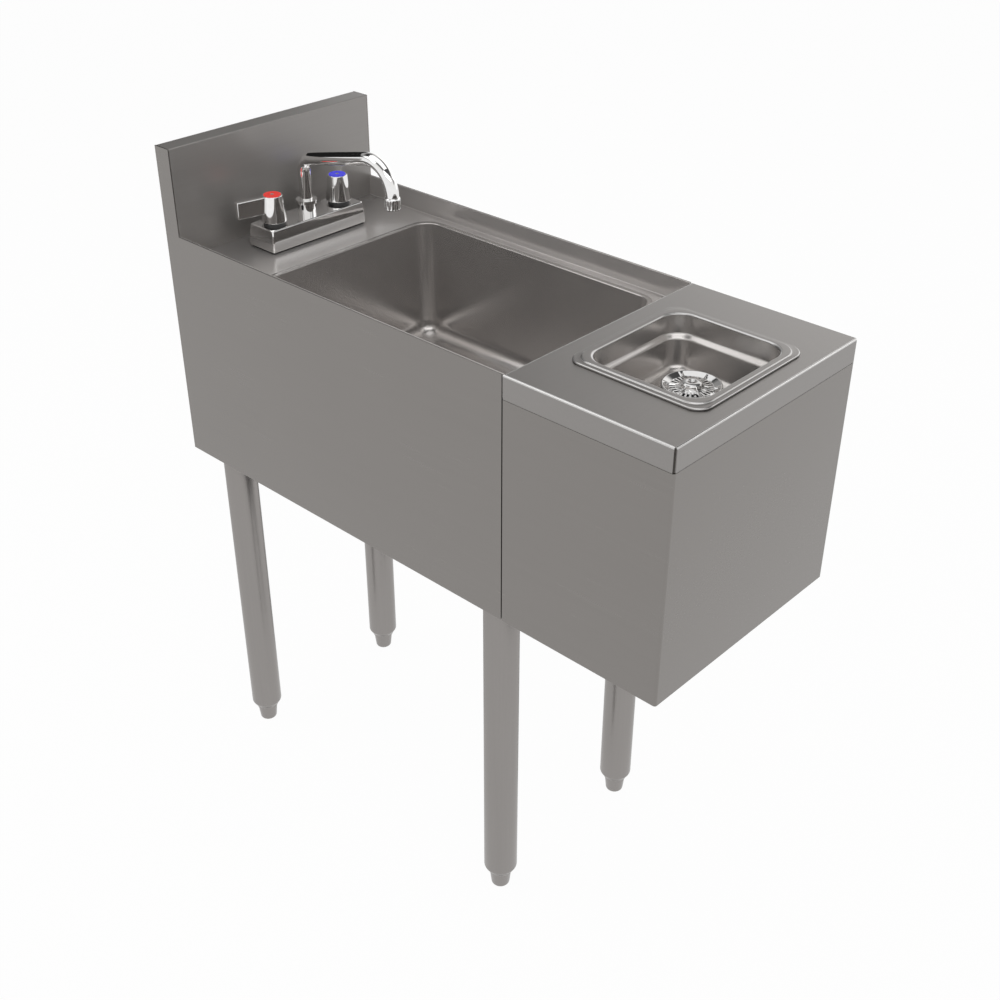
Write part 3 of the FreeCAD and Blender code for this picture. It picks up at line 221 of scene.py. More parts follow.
def brushed_steel(name, colour, along, roughness=0.26, metal=1.0, flats=()):
    """Metal with scratches along one axis: noise stretched along it drives colour, roughness and relief.

    With flats, only the level parts at those heights keep the colour, and the bends between get a painted
    highlight.
    """
    finish = new_finish(name)
    place = finish.place()
    stretch = np.where(np.arange(3) == "xyz".index(along), 1.0, STRETCH)
    fine = finish.noise(finish.scaled(place, stretch * FINE_SCRATCHES), 1.0, detail=3.0)
    broad = finish.noise(finish.scaled(place, stretch * BROAD_SCRATCHES), 1.0, detail=2.0)
    cloud = finish.noise(place, SHEET_CLOUDS, detail=2.0)
    shade = fine * 0.35 + broad * 0.4 + cloud * 0.25
    paint = finish.tint(shade, *shades(colour, 0.07))
    # painted highlight: away from the level heights the bends are coloured bright, for the light they
    # catch
    if flats:
        height = finish.height()
        level_unhighlighted = sum(finish.node("ShaderNodeMath", {"operation": "COMPARE"}, {
            0: height, 1: flat * MM, 2: LEVEL_GAP * MM}) for flat in flats)
        paint = finish.tint(level_unhighlighted, BEND_HIGHLIGHT_PAINT, paint)
    return finish.close(finish.node("ShaderNodeBsdfPrincipled", {}, {
        "Base Color": paint, "Metallic": metal,
        "Roughness": shade * (2 * STREAK) + (roughness - STREAK),
        "Normal": finish.bump(fine, strength=0.12, distance=0.0004)}))


# %% [markdown]
# Bowl and pan are drawn in a press, and the deck is polished together with the bowl that is welded into
# it, without a direction. Polishing leaves soft clouds in the gloss, and drawing leaves a grain like
# orange peel, so the noise here isn't stretched. A share of plain diffuse colour, less metal, stands for
# the light that such a grain scatters.

# %% Drawn sheet
# noise cells per metre
DRAWN_CLOUDS, ORANGE_PEEL = 14.0, 2600.0


def drawn_steel(name, colour, roughness, metal):
    """Pressed sheet after polishing: clouds in colour and gloss, and a faint relief."""
    finish = new_finish(name)
    place = finish.place()
    cloud = finish.noise(place, DRAWN_CLOUDS, detail=3.0)
    grain = finish.noise(place, ORANGE_PEEL, detail=2.0)
    return finish.close(finish.node("ShaderNodeBsdfPrincipled", {}, {
        "Base Color": finish.tint(cloud, *shades(colour, 0.05)), "Metallic": metal,
        "Roughness": cloud * 0.06 + grain * 0.02 + (roughness - 0.04),
        "Normal": finish.bump(grain, strength=0.01, distance=0.0001)}))


# %% [markdown]
# Faucet and spray head are plated: almost a mirror, with the slight waviness of the casting under the
# plating. The head's slots open into its hollow inside, and the shade in them is painted: a drum round
# the head's axis, a little smaller than the head, holds all that lies inside, and one rule for radius
# and height paints every slot dark.

# %% Plated metal
# painted shade for the inside of the spray head's slots
SLOT_SHADE_PAINT = (0.02, 0.02, 0.02)
# noise cells per metre
CAST_WAVES, PLATE_HAZE = 45.0, 240.0


def polished(name, colour, roughness=0.05, shade_drum=None):
    """Bright metal: slow waves in the relief and a fine haze in colour and gloss.

    The last argument, when given, is an upright axis, a radius and a height: inside that drum the slots
    get painted shade.
    """
    finish = new_finish(name)
    place = finish.place()
    wave = finish.noise(place, CAST_WAVES, detail=1.0)
    haze = finish.noise(place, PLATE_HAZE, detail=2.0)
    paint = finish.tint(haze, *shades(colour, 0.03))
    if shade_drum:
        *axis, radius, top = shade_drum
        # painted shade: near black inside the drum, the plated colour outside it
        skin = finish.from_axis(axis).above(radius * MM) + finish.height().above(top * MM)
        paint = finish.tint(skin, SLOT_SHADE_PAINT, paint)
    return finish.close(finish.node("ShaderNodeBsdfPrincipled", {}, {
        "Base Color": paint, "Metallic": 1.0,
        "Roughness": haze * 0.03 + (roughness - 0.015),
        "Normal": finish.bump(wave, strength=0.04, distance=0.0005)}))


# %% [markdown]
# Gaskets and the aerator's screen are moulded, with a matte grain. The cartridges get the same black,
# as painted shade for the dark gap under the handles. The red and blue discs on the handles are glossy
# plastic with a grey dimple in the middle, where the moulding tool let the plastic in.

# %% Moulded pieces and index marks
DIMPLE, DIMPLE_GREY = 2.2, (0.3, 0.29, 0.28)
# noise cells per metre
MATTE_GRAIN, MOULD_CLOUDS, MARK_CLOUDS = 1500.0, 60.0, 300.0


def moulded(name, colour, roughness):
    """Moulded plastic or rubber: one colour with soft clouds and a fine matte grain."""
    finish = new_finish(name)
    place = finish.place()
    grain = finish.noise(place, MATTE_GRAIN, detail=3.0)
    cloud = finish.noise(place, MOULD_CLOUDS, detail=2.0)
    return finish.close(finish.node("ShaderNodeBsdfPrincipled", {}, {
        "Base Color": finish.tint(cloud, *shades(colour, 0.1)),
        "Roughness": grain * 0.1 + (roughness - 0.05),
        "Normal": finish.bump(grain, strength=0.08, distance=0.0002)}))


def index_mark(name, colour, centre):
    """A coloured disc that turns grey within the dimple's radius of its axis."""
    finish = new_finish(name)
    cloud = finish.noise(finish.place(), MARK_CLOUDS, detail=2.0)
    rim = finish.from_axis(centre).above(DIMPLE * MM)
    return finish.close(finish.node("ShaderNodeBsdfPrincipled", {}, {
        "Base Color": finish.tint(rim, DIMPLE_GREY, colour),
        "Roughness": cloud * 0.1 + 0.2}))


# %% [markdown]
# All finishes stand in one table, so that the tones of neighbouring pieces can be compared at a glance.
# Four of them change from place to place: the pan's rim, the spray head and the two index marks. Their
# places are given first, in millimetres like all sizes below, and the pieces further down use the same
# ones.

# %% Table of finishes
HANDLE_X, FAUCET_Y = 50.8, 296.9
RIM_TOP, RIM_STEP = 752.0, 1.6
HEAD_X, HEAD_Y, SLOT_RADIUS, SLOT_TOP = 9.0, -275.9, 30.0, 711.9

SHEET = (0.238, 0.225, 0.214)
CAP = (0.278, 0.266, 0.257)
# the same steel as SHEET, painted lighter: painted light for the deck and the shaded inside of the bowl
STEEL_PAINTED_LIGHTER = (0.48, 0.46, 0.446)
FINISHES = {
    "side": brushed_steel("side_sheet", SHEET, "y"),
    "cross": brushed_steel("cross_sheet", SHEET, "x"),
    "cap": brushed_steel("cap_sheet", CAP, "x", 0.3),
    # painted highlight: the cap's folds are coloured bright for the lines of light along them
    "fold": brushed_steel("fold_painted_highlight", BEND_HIGHLIGHT_PAINT, "x", 0.2),
    # painted highlight: the rim's bends between its two level heights are coloured bright
    "rim": brushed_steel("rim_sheet_painted_highlight", CAP, "x", 0.3, flats=(RIM_TOP - RIM_STEP, RIM_TOP)),
    "splash": brushed_steel("splash_sheet", (0.29, 0.277, 0.267), "x", 0.34, metal=0.55),
    "deck": drawn_steel("deck_sheet", STEEL_PAINTED_LIGHTER, 0.22, 0.5),
    "basin": drawn_steel("basin_sheet", STEEL_PAINTED_LIGHTER, 0.22, 0.75),
    "pan": drawn_steel("pan_sheet", (0.53, 0.51, 0.495), 0.26, 0.85),
    "tube": brushed_steel("leg_tube", (0.29, 0.275, 0.265), "z", 0.3),
    "mill": brushed_steel("mill_plate", (0.25, 0.25, 0.25), "x", 0.4),
    "turned": polished("turned_steel", (0.45, 0.45, 0.45), 0.22),
    "chrome": polished("chrome_plate", (0.84, 0.835, 0.83)),
    "spray": polished("spray_head_plate_and_slot_shade", (0.62, 0.615, 0.61), 0.08,
                      (HEAD_X, HEAD_Y, SLOT_RADIUS, SLOT_TOP)),
    "brass": polished("machined_brass", (0.55, 0.40, 0.17), 0.25),
    "rubber": moulded("gasket_rubber_and_shade", (0.03, 0.03, 0.03), 0.6),
    "screen": moulded("screen_mesh", (0.10, 0.10, 0.105), 0.5),
    "red": index_mark("hot_mark", (0.95, 0.045, 0.035), (-HANDLE_X, FAUCET_Y)),
    "blue": index_mark("cold_mark", (0.07, 0.07, 0.95), (HANDLE_X, FAUCET_Y)),
}
print(len(FINISHES), "finishes")

# %% [markdown]
# Each CAD node names the material that it is made of. One table turns that name into a finish, and a
# second one holds the few nodes that look different from the rest of their kind, such as the
# backsplash, whose grain runs across. Only the material of a node changes here, never its shape.

# %% Finish of every node
BY_SLOT = {
    "brushed_sheet": "side", "drawn_sheet": "basin", "satin_tube": "tube", "mill_steel": "mill",
    "fastener_steel": "turned", "chrome": "chrome", "brass": "brass", "rubber": "rubber",
    "screen_plastic": "screen", "hot_red": "red", "cold_blue": "blue",
}
BY_NODE = {
    "backsplash": "splash", "rinser_cap": "cap", "front_panel": "cross", "back_panel": "cross",
    # painted shade: the cartridges take the black rubber finish for the dark gap under each handle
    "hot_cartridge": "rubber", "cold_cartridge": "rubber", "rinser_valve_body": "turned",
    "rinser_plunger": "turned",
}
for subpart in frame["record"]["subparts"]:
    node = subpart["node"]
    choice = FINISHES[BY_NODE.get(node, BY_SLOT[subpart["material_slot"]])]
    data = frame["nodes"][node].data
    data.materials.clear()
    data.materials.append(choice)
print(len(frame["nodes"]), "nodes have a finish")

# %% [markdown]
# The new pieces are surfaces worked out as whole arrays. One kind of surface serves for nearly all of
# them: a row of closed loops with the same number of points, joined by quads. A level loop round a
# rectangle with round corners is a bowl's or a plate's outline, and with its corners as large as its
# sides it is a circle, so the same loops also make turned pieces. A section carried along an axis is
# two loops with their ends shut.

# %% Surfaces from loops
# a pointed end is a circle too small to see
NO_RADIUS = 1e-7
CORNER_STEPS = 12


def rounded_loop(half_x, half_y, corner, z, centre, steps=CORNER_STEPS):
    """Points round a rectangle: the centre of each corner's arc, plus the radius along a quarter turn."""
    turn = (np.arange(4)[:, None] * np.pi / 2 + np.linspace(0, np.pi / 2, steps)).ravel()
    side = np.repeat([[1, 1], [-1, 1], [-1, -1], [1, -1]], steps, axis=0)
    bend = corner * np.column_stack([np.cos(turn), np.sin(turn)])
    spot = side * (half_x - corner, half_y - corner) + bend + centre
    return np.column_stack([spot, np.full(len(spot), z)])


def circle(radius, z, centre, steps=CORNER_STEPS):
    """A level circle: the rounded loop whose corners take up the whole of its sides."""
    return rounded_loop(radius, radius, radius, z, centre, steps)


def arc(centre, radius, start, end, steps=8):
    """Points of a flat arc, by its angles in degrees."""
    turn = np.radians(np.linspace(start, end, steps))
    return np.column_stack([centre[0] + radius * np.cos(turn), centre[1] + radius * np.sin(turn)])


def loft(loops, closed=False, caps=False):
    """Quads between each loop and the next, with the last joined to the first or the two ends shut."""
    points = np.stack(loops)
    rows, columns = points.shape[:2]
    row = np.arange(rows if closed else rows - 1)[:, None]
    column = np.arange(columns)
    here, there = row * columns, (row + 1) % rows * columns
    after = (column + 1) % columns
    corners = [here + column, here + after, there + after, there + column]
    faces = np.stack(corners, -1).reshape(-1, 4).tolist()
    if caps:
        faces += [column[::-1].tolist(), (column + (rows - 1) * columns).tolist()]
    return points.reshape(-1, 3), faces


def carried(section, axis, low, high):
    """A flat section carried along an axis from low to high. Its columns are the other axes, in order."""
    others = [index for index in range(3) if index != "xyz".index(axis)]
    loops = np.empty((2, len(section), 3))
    loops[:, :, others] = section
    loops[:, :, "xyz".index(axis)] = np.array([low, high])[:, None]
    return loft(loops, caps=True)


def turned(profile, centre, steps):
    """A profile of radius and height turned round an upright axis."""
    return loft([circle(max(radius, NO_RADIUS), z, centre, steps) for radius, z in profile], caps=True)


# %% [markdown]
# A piece is one object made of such surfaces. Points that meet are welded and faces turned outwards.
# Where a sheet has cut edges, a Bevel modifier breaks them, and the weighted normals keep broad faces
# flat beside it.

# %% Pieces
WELD = 1e-6
BEVEL_STEPS, BEVEL_FROM = 3, np.radians(40)


def piece(name, surfaces, finish, nodes, body="sink", edge=0.0):
    """One object from surfaces in millimetres, in place, that rides on a body and stands for CAD nodes."""
    points, faces, count = [], [], 0
    for spots, quads in surfaces:
        points.append(spots)
        faces += [[index + count for index in quad] for quad in quads]
        count += len(spots)
    mesh = bpy.data.meshes.new(name)
    mesh.from_pydata(np.concatenate(points) * MM, [], faces)
    work = bmesh.new()
    work.from_mesh(mesh)
    bmesh.ops.remove_doubles(work, verts=work.verts, dist=WELD)
    bmesh.ops.recalc_face_normals(work, faces=work.faces)
    work.to_mesh(mesh)
    work.free()
    mesh.shade_smooth()
    mesh.materials.append(FINISHES[finish])
    made = bpy.data.objects.new(name, mesh)
    bpy.context.collection.objects.link(made)
    if edge:
        bevel = made.modifiers.new("edge", "BEVEL")
        bevel.width = edge * MM
        bevel.segments = BEVEL_STEPS
        bevel.limit_method = "ANGLE"
        bevel.angle_limit = BEVEL_FROM
    made.modifiers.new("shading", "WEIGHTED_NORMAL").keep_sharp = True
    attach(made, body)
    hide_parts(*nodes)
    print(f"{name}: {len(mesh.vertices)} points")
    return made


# %% [markdown]
# The two side panels are flat sheets with the end of the backsplash in one piece. Guillotined edges are
# never knife sharp, and the thin bright line that they catch is most of what shows of a sheet's edge,
# so every edge is broken a little.

# %% Side panels
SHEET_THICKNESS, CUT_EDGE = 1.5, 0.25
HALF_WIDTH = 152.4
INNER_SIDE = HALF_WIDTH - SHEET_THICKNESS
FRONT, BACK = -373.9, 373.9
BODY_FRONT, SPLASH_FRONT = -167.2, 348.9
SKIRT, PANEL_TOP, SPLASH_TOP = 454.7, 747.8, 852.1

panel_outline = [(BODY_FRONT, SKIRT), (BACK, SKIRT), (BACK, SPLASH_TOP), (SPLASH_FRONT, SPLASH_TOP),
                 (SPLASH_FRONT, PANEL_TOP), (BODY_FRONT, PANEL_TOP)]
for side, start, end in (("left", -HALF_WIDTH, -INNER_SIDE), ("right", INNER_SIDE, HALF_WIDTH)):
    piece(f"{side}_panel_sheet", [carried(panel_outline, "x", start, end)], "side",
          [f"{side}_side_panel"], edge=CUT_EDGE)

# %% [markdown]
# The deck is one sheet: flat round the bowl, and bent up along both sides into a low rail against the
# panel. The flat part is a ring of four loops, from the bowl's opening out to the sheet's edge and back
# underneath. Each rail is a section with its two bend radii, carried along the deck.

# %% Deck and rails
DECK_TOP = 722.4
DECK_UNDER = DECK_TOP - SHEET_THICKNESS
RAIL_BEND, RAIL_CROWN = 1.0, 0.2
BOWL_Y, BOWL_HALF_X, BOWL_HALF_Y, BOWL_CORNER = 44.9, 132.0, 180.0, 22.0
BOWL_RIM = 6.2

rail_face = INNER_SIDE - SHEET_THICKNESS
bend_line = rail_face - RAIL_BEND
deck_middle = (BODY_FRONT + SPLASH_FRONT) / 2


def opening(grow, z):
    """The bowl's outline, grown outwards."""
    return rounded_loop(BOWL_HALF_X + grow, BOWL_HALF_Y + grow, BOWL_CORNER + grow, z, (0, BOWL_Y))


def deck_edge(z):
    """The outline of the deck's flat part."""
    return rounded_loop(bend_line, (SPLASH_FRONT - BODY_FRONT) / 2, 0, z, (0, deck_middle))


deck_flat = loft([opening(BOWL_RIM, DECK_TOP), deck_edge(DECK_TOP),
                  deck_edge(DECK_UNDER), opening(BOWL_RIM, DECK_UNDER)], closed=True)
bend_centre = (bend_line, DECK_TOP + RAIL_BEND)
rail = np.concatenate([
    [(bend_line, DECK_UNDER)], [(bend_line, DECK_TOP)],
    arc(bend_centre, RAIL_BEND, -90, 0),
    arc((rail_face + RAIL_CROWN, PANEL_TOP - RAIL_CROWN), RAIL_CROWN, 180, 90, steps=4),
    arc((INNER_SIDE - RAIL_CROWN, PANEL_TOP - RAIL_CROWN), RAIL_CROWN, 90, 0, steps=4),
    arc(bend_centre, RAIL_BEND + SHEET_THICKNESS, 0, -90)[:-1]])
rails = [carried(rail * (side, 1), "y", BODY_FRONT, SPLASH_FRONT) for side in (-1, 1)]
piece("deck_sheet", [deck_flat, *rails], "deck", ["sink_deck"])

# %% [markdown]
# The bowl is drawn from one sheet: a flat rim welded into the deck, a rolled mouth, straight walls and
# a wide radius into the floor. Loops run down the inside to the drain hole and back up the outside, one
# wall away.

# %% Bowl
BOWL_WALL = 1.2
MOUTH_RADIUS, FLOOR_RADIUS = 1.3, 20.0
BOWL_FLOOR = 570.4
DRAIN_HOLE = 22.0

quarter = np.radians(np.linspace(0, 90, 10))


def bowl_skin(offset):
    """Loops from the rim to the drain, on the bowl's inner face or an offset further out."""
    mouth, foot = MOUTH_RADIUS - offset, FLOOR_RADIUS + offset
    top, floor = DECK_TOP - offset, BOWL_FLOOR - offset
    loops = [opening(BOWL_RIM, top)]
    loops += [opening(offset + mouth * (1 - np.sin(turn)), top - mouth * (1 - np.cos(turn)))
              for turn in quarter]
    loops += [opening(offset - foot * (1 - np.cos(turn)), floor + foot * (1 - np.sin(turn)))
              for turn in quarter]
    return [*loops, circle(DRAIN_HOLE, floor, (0, BOWL_Y))]


bowl = loft(bowl_skin(0) + bowl_skin(BOWL_WALL)[::-1], closed=True)
piece("bowl_shell", [bowl], "basin", ["sink_bowl"])

# %% [markdown]
# Legs are tubes that are swaged in at the foot, and the bullet feet screw out of them. Both are turned
# shapes. The swage is a smooth S between the two radii, half a cosine wave, because the tube is
# squeezed, not cut.

# %% Legs and feet
LEG_RADIUS, LEG_TIP, LEG_WALL = 20.65, 15.4, 1.5
LEG_TOP, LEG_LOW, SWAGE = 551.8, 24.0, 11.0
TIP_DEPTH, TIP_BREAK, TIP_RISE = 1.0, 0.4, 0.3
FOOT_TOP_RADIUS, FOOT_TIP_RADIUS, FOOT_ROUND = 14.0, 11.6, 4.0
STEM_RADIUS, STEM_TOP = 6.0, 72.0
# radius past the foot's own and height past the leg's lower end
FOOT_COLLAR = [(-0.5, -3.2), (0.0, -2.6), (0.0, -0.8), (-0.5, -0.3)]

swage_height = LEG_LOW + np.linspace(0, SWAGE, 12)
swage_radius = LEG_TIP + (LEG_RADIUS - LEG_TIP) * (1 - np.cos(np.linspace(0, np.pi, 12))) / 2
leg_skin = [(LEG_TIP - LEG_WALL, LEG_LOW + TIP_DEPTH), (LEG_TIP - LEG_WALL, LEG_LOW),
            (LEG_TIP - TIP_BREAK, LEG_LOW), *zip(swage_radius, swage_height + TIP_RISE),
            (LEG_RADIUS, LEG_TOP)]
foot_tip = arc((FOOT_TIP_RADIUS - FOOT_ROUND, FOOT_ROUND), FOOT_ROUND, -90, 0)
foot_collar = [(FOOT_TOP_RADIUS + out, LEG_LOW + rise) for out, rise in FOOT_COLLAR]
foot_skin = [(0, 0), *foot_tip, *foot_collar, (STEM_RADIUS, foot_collar[-1][1]), (STEM_RADIUS, STEM_TOP)]

for spot in ("front_left", "front_right", "back_left", "back_right"):
    low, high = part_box(f"{spot}_leg")
    axis = (np.array(low) + np.array(high))[:2] / 2 / MM
    tube, foot = turned(leg_skin, axis, steps=14), turned(foot_skin, axis, steps=12)
    piece(f"{spot}_leg_tube", [tube], "tube", [f"{spot}_leg"])
    piece(f"{spot}_bullet_foot", [foot], "tube", [f"{spot}_foot"], f"{spot}_levelling_foot")

# %% [markdown]
# The aerator on the end of the spout has a fluted grip. Flutes are a wave in the radius: the turned
# profile's loops are shrunk by a share of half a cosine, which fades out towards the two plain ends.

# %% Aerator
AERATOR_RADIUS, AERATOR_BORE, SEAT_RADIUS = 9.1, 6.5, 7.9
AERATOR_LOW, AERATOR_LENGTH, SEAT_DEPTH = 793.0, 14.5, 6.0
OUTLET_Y = 142.9
FLUTES, FLUTE_DEPTH = 16, 0.5
GRIP_LOW, GRIP_HIGH, GRIP_FADE, GRIP_SKIN = 1.6, 12.0, 0.8, 0.15
# radius, and height above the lower end
AERATOR_ROWS = [
    (AERATOR_BORE, 1.2), (AERATOR_BORE, 0.0), (AERATOR_RADIUS - 0.7, 0.0), (AERATOR_RADIUS - 0.1, 0.6),
    (AERATOR_RADIUS, GRIP_LOW), (AERATOR_RADIUS, 2.4), (AERATOR_RADIUS, 11.0),
    (AERATOR_RADIUS, GRIP_HIGH), (AERATOR_RADIUS - 0.2, 13.6), (AERATOR_RADIUS - 0.9, AERATOR_LENGTH),
    (SEAT_RADIUS, AERATOR_LENGTH), (SEAT_RADIUS, SEAT_DEPTH)]

aerator_profile = [(radius, AERATOR_LOW + rise) for radius, rise in AERATOR_ROWS]
skin, quads = turned(aerator_profile, (0, OUTLET_Y), steps=33)
outward = skin[:, :2] - (0, OUTLET_Y)
to_end = np.minimum(skin[:, 2] - AERATOR_LOW - GRIP_LOW, AERATOR_LOW + GRIP_HIGH - skin[:, 2])
grip = np.clip(to_end / GRIP_FADE, 0, 1) * (np.hypot(*outward.T) > AERATOR_RADIUS - GRIP_SKIN)
flute = (1 - np.cos(FLUTES * np.arctan2(outward[:, 1], outward[:, 0]))) / 2
skin[:, :2] -= outward * (grip * flute * FLUTE_DEPTH / AERATOR_RADIUS)[:, None]
piece("aerator_grip", [(skin, quads)], "chrome", ["aerator"], "spout")

# %% [markdown]
# The rinser's pan drops into the cap. Its rim is pressed into two low steps, and the bends between
# their level parts carry a painted highlight, for the two lines of light that run round it. The well
# below has a soft shoulder before it draws in to the floor. The rim is brushed like the cap and the
# well is left as bright as the press made it, so they are two pieces that meet at the mouth.

# %% Rinser pan
PAN_Y = -272.9
PAN_HALF_X, PAN_HALF_Y, PAN_CORNER = 76.0, 69.0, 25.0
PAN_LIP, PAN_RIM_CORNER, PAN_WALL = 12.0, 17.0, 1.0
LIP_ROUND, STEP_FOOT, STEP_EDGE, STEP_ROUND = 1.2, -7.4, -7.0, 1.0
PAN_SHELF, PAN_FLOOR, PAN_STEP, SHELF_RISE = 727.0, 690.0, 4.0, 8.0
PAN_MOUTH_RADIUS, PAN_FLOOR_RADIUS = 2.0, 10.0
PAN_TAPER = np.tan(np.radians(5))
WASTE_HOLE = 18.0


def pan_loop(inset, z):
    """The pan's mouth drawn in by an inset, or let out as far as the rim's sharper corners."""
    lip = max(-inset, 0) / PAN_LIP
    corner = PAN_CORNER - max(inset, 0) + lip * (PAN_RIM_CORNER - PAN_CORNER)
    return rounded_loop(PAN_HALF_X - inset, PAN_HALF_Y - inset, corner, z, (0, PAN_Y))


def edge_round(inset, z, radius):
    """A quarter turn that ends level: it starts upright at the inset and rolls inwards over the top."""
    turns = np.linspace(0, np.pi / 2, 6)
    return [(inset + radius * (1 - np.cos(turn)), z + radius * np.sin(turn)) for turn in turns]


roll = np.linspace(0, np.pi / 2, 8)
step_top = RIM_TOP - RIM_STEP
well_top = RIM_TOP - PAN_MOUTH_RADIUS
rim_section = [(-PAN_LIP, PANEL_TOP), *edge_round(-PAN_LIP, step_top - LIP_ROUND, LIP_ROUND),
               (STEP_FOOT, step_top), *edge_round(STEP_EDGE, RIM_TOP - STEP_ROUND, STEP_ROUND)]
rim_section += [(-PAN_MOUTH_RADIUS * (1 - np.sin(turn)), RIM_TOP - PAN_MOUTH_RADIUS * (1 - np.cos(turn)))
                for turn in roll]
rim_section += [(-PAN_WALL, well_top), (-PAN_WALL, PANEL_TOP)]
rim_loops = [pan_loop(*spot) for spot in rim_section]
piece("pan_rim", [loft(rim_loops, closed=True)], "rim", ["rinser_pan"])

well_section = [(PAN_STEP * (1 - np.cos(np.pi * part)) / 2, PAN_SHELF + SHELF_RISE * (0.5 - part))
                for part in np.linspace(0, 1, 12)]
foot_z = PAN_FLOOR + PAN_FLOOR_RADIUS
foot_inset = PAN_STEP + (PAN_SHELF - SHELF_RISE / 2 - foot_z) * PAN_TAPER
well_section += [(foot_inset + PAN_FLOOR_RADIUS * (1 - np.cos(turn)),
                  foot_z - PAN_FLOOR_RADIUS * np.sin(turn)) for turn in roll]


def well_skin(offset):
    """Loops from the mouth to the waste, on the well's inner face or an offset further out."""
    loops = [pan_loop(-offset, well_top)]
    loops += [pan_loop(inset - offset, z - offset) for inset, z in well_section]
    return [*loops, circle(WASTE_HOLE, PAN_FLOOR - offset, (0, PAN_Y))]


well = loft(well_skin(0) + well_skin(PAN_WALL)[::-1], closed=True)
piece("pan_well", [well], "pan", ["rinser_pan"])

# %% [markdown]
# The cap is folded from one sheet: a plate with a hole for the pan, and four flanges folded down round
# it. The flanges stop short of each other, which leaves a dark slit at every corner. The outside of
# each bend is painted bright, a painted highlight for the lines of light along the folds. The folds
# are a piece of their own for that colour: the plate is a ring, and each flange and each fold is a
# section carried along one side.

# %% Rinser cap
CAP_FLANGE, FOLD, SLIT, BOX_BACK = 26.4, 2.0, 2.3, -168.8
PAN_CLEARANCE, FOLD_EDGE = 2.0, 0.05

cap_middle = (FRONT + BOX_BACK) / 2
cap_half_y = (BOX_BACK - FRONT) / 2


def plate_loops(z):
    """The plate's hole and its outline where the folds begin, at one height."""
    hole = np.add((PAN_HALF_X, PAN_HALF_Y, PAN_CORNER), PAN_CLEARANCE)
    return [rounded_loop(*hole, z, (0, PAN_Y)),
            rounded_loop(HALF_WIDTH - FOLD, cap_half_y - FOLD, 0, z, (0, cap_middle))]


def all_round(section):
    """The section carried along the cap's four sides. At the back the side strips run out to the seam."""
    strips = [carried(section * (-side, 1) + (side * HALF_WIDTH, 0), "y", FRONT + SLIT, BOX_BACK)
              for side in (-1, 1)]
    strips += [carried(section * (-side, 1) + (line, 0), "x", SLIT - HALF_WIDTH, HALF_WIDTH - SLIT)
               for line, side in ((FRONT, -1), (BOX_BACK, 1))]
    return strips


plate = loft(plate_loops(PANEL_TOP) + plate_loops(PANEL_TOP - SHEET_THICKNESS)[::-1], closed=True)
flange_low, flange_high = PANEL_TOP - CAP_FLANGE, PANEL_TOP - FOLD
flange = np.array([(0, flange_high), (0, flange_low), (SHEET_THICKNESS, flange_low),
                   (SHEET_THICKNESS, flange_high)])
fold_centre = (FOLD, flange_high)
fold = np.concatenate([arc(fold_centre, FOLD, 90, 180),
                       arc(fold_centre, FOLD - SHEET_THICKNESS, 180, 90)])
piece("cap_sheet", [plate, *all_round(flange)], "cap", ["rinser_cap"], edge=FOLD_EDGE)
piece("cap_folds_painted_highlight", all_round(fold), "fold", ["rinser_cap"], edge=FOLD_EDGE)

# %% [markdown]
# The spray head is a dish with a hub in the middle. Narrow slots let the water through all round the
# dish and its skirt, six ribs carry the glass, and the underside is hollow, to leave room for the valve
# when a glass presses the head down. A grid of radius and angle holds all of it: each row of the
# profile says how deep the slots cut there and how high the ribs stand, and two waves in the angle say
# where.

# %% Spray head
HEAD_SLOTS, SLOT_SHARE = 28, 0.5
HEAD_RIBS, RIB_SHARE = 6, 0.16
HEAD_ROUND, STEEPNESS = 840, 6


def pulses(count, share, turn):
    """Steep waves round a turn: 1 on a share of each of count equal parts of it, and 0 on the rest."""
    wave = np.cos(count * turn) - np.cos(np.pi * share)
    return np.clip(wave * STEEPNESS, 0, 1)


# radius, height, then how far slots cut in and down, and how far ribs rise
HEAD_ROWS = np.array([
    (0.4, 711.5, 0.0, 0.0, 0.0), (15.4, 711.5, 0.0, 0.0, 0.0), (15.4, 708.5, 0.0, 0.0, 0.0),
    (28.5, 708.5, 0.0, 0.0, 0.0), (28.5, 706.0, 0.0, 0.0, 0.0), (30.6, 706.0, 1.6, 0.0, 0.0),
    (31.0, 706.4, 1.6, 0.0, 0.0), (31.0, 712.4, 1.6, 0.0, 0.0), (31.0, 713.0, 0.0, 0.0, 0.0),
    (30.8, 714.6, 0.0, 0.0, 0.0), (30.2, 715.2, 0.0, 0.0, 0.0), (29.4, 715.4, 0.0, 0.0, 0.0),
    (28.8, 715.2, 0.0, 0.0, 0.0), (26.4, 714.15, 0.0, 0.0, 0.5), (24.0, 713.1, 0.0, 0.0, 1.5),
    (22.6, 712.65, 0.0, 0.0, 2.0), (22.4, 712.6, 0.0, 0.0, 2.0), (22.0, 712.6, 0.0, 2.6, 2.0),
    (16.6, 712.4, 0.0, 2.6, 2.5), (16.2, 712.4, 0.0, 0.0, 2.6), (13.4, 712.4, 0.0, 0.0, 3.0),
    (12.6, 712.7, 0.0, 0.0, 2.9), (12.0, 713.3, 0.0, 0.0, 2.7), (11.0, 716.4, 0.0, 0.0, 0.6),
    (10.4, 717.6, 0.0, 0.0, 0.0), (9.4, 718.2, 0.0, 0.0, 0.0), (6.0, 718.5, 0.0, 0.0, 0.0),
    (3.0, 718.5, 0.0, 0.0, 0.0), (2.6, 717.8, 0.0, 0.0, 0.0), (2.2, 716.6, 0.0, 0.0, 0.0)])

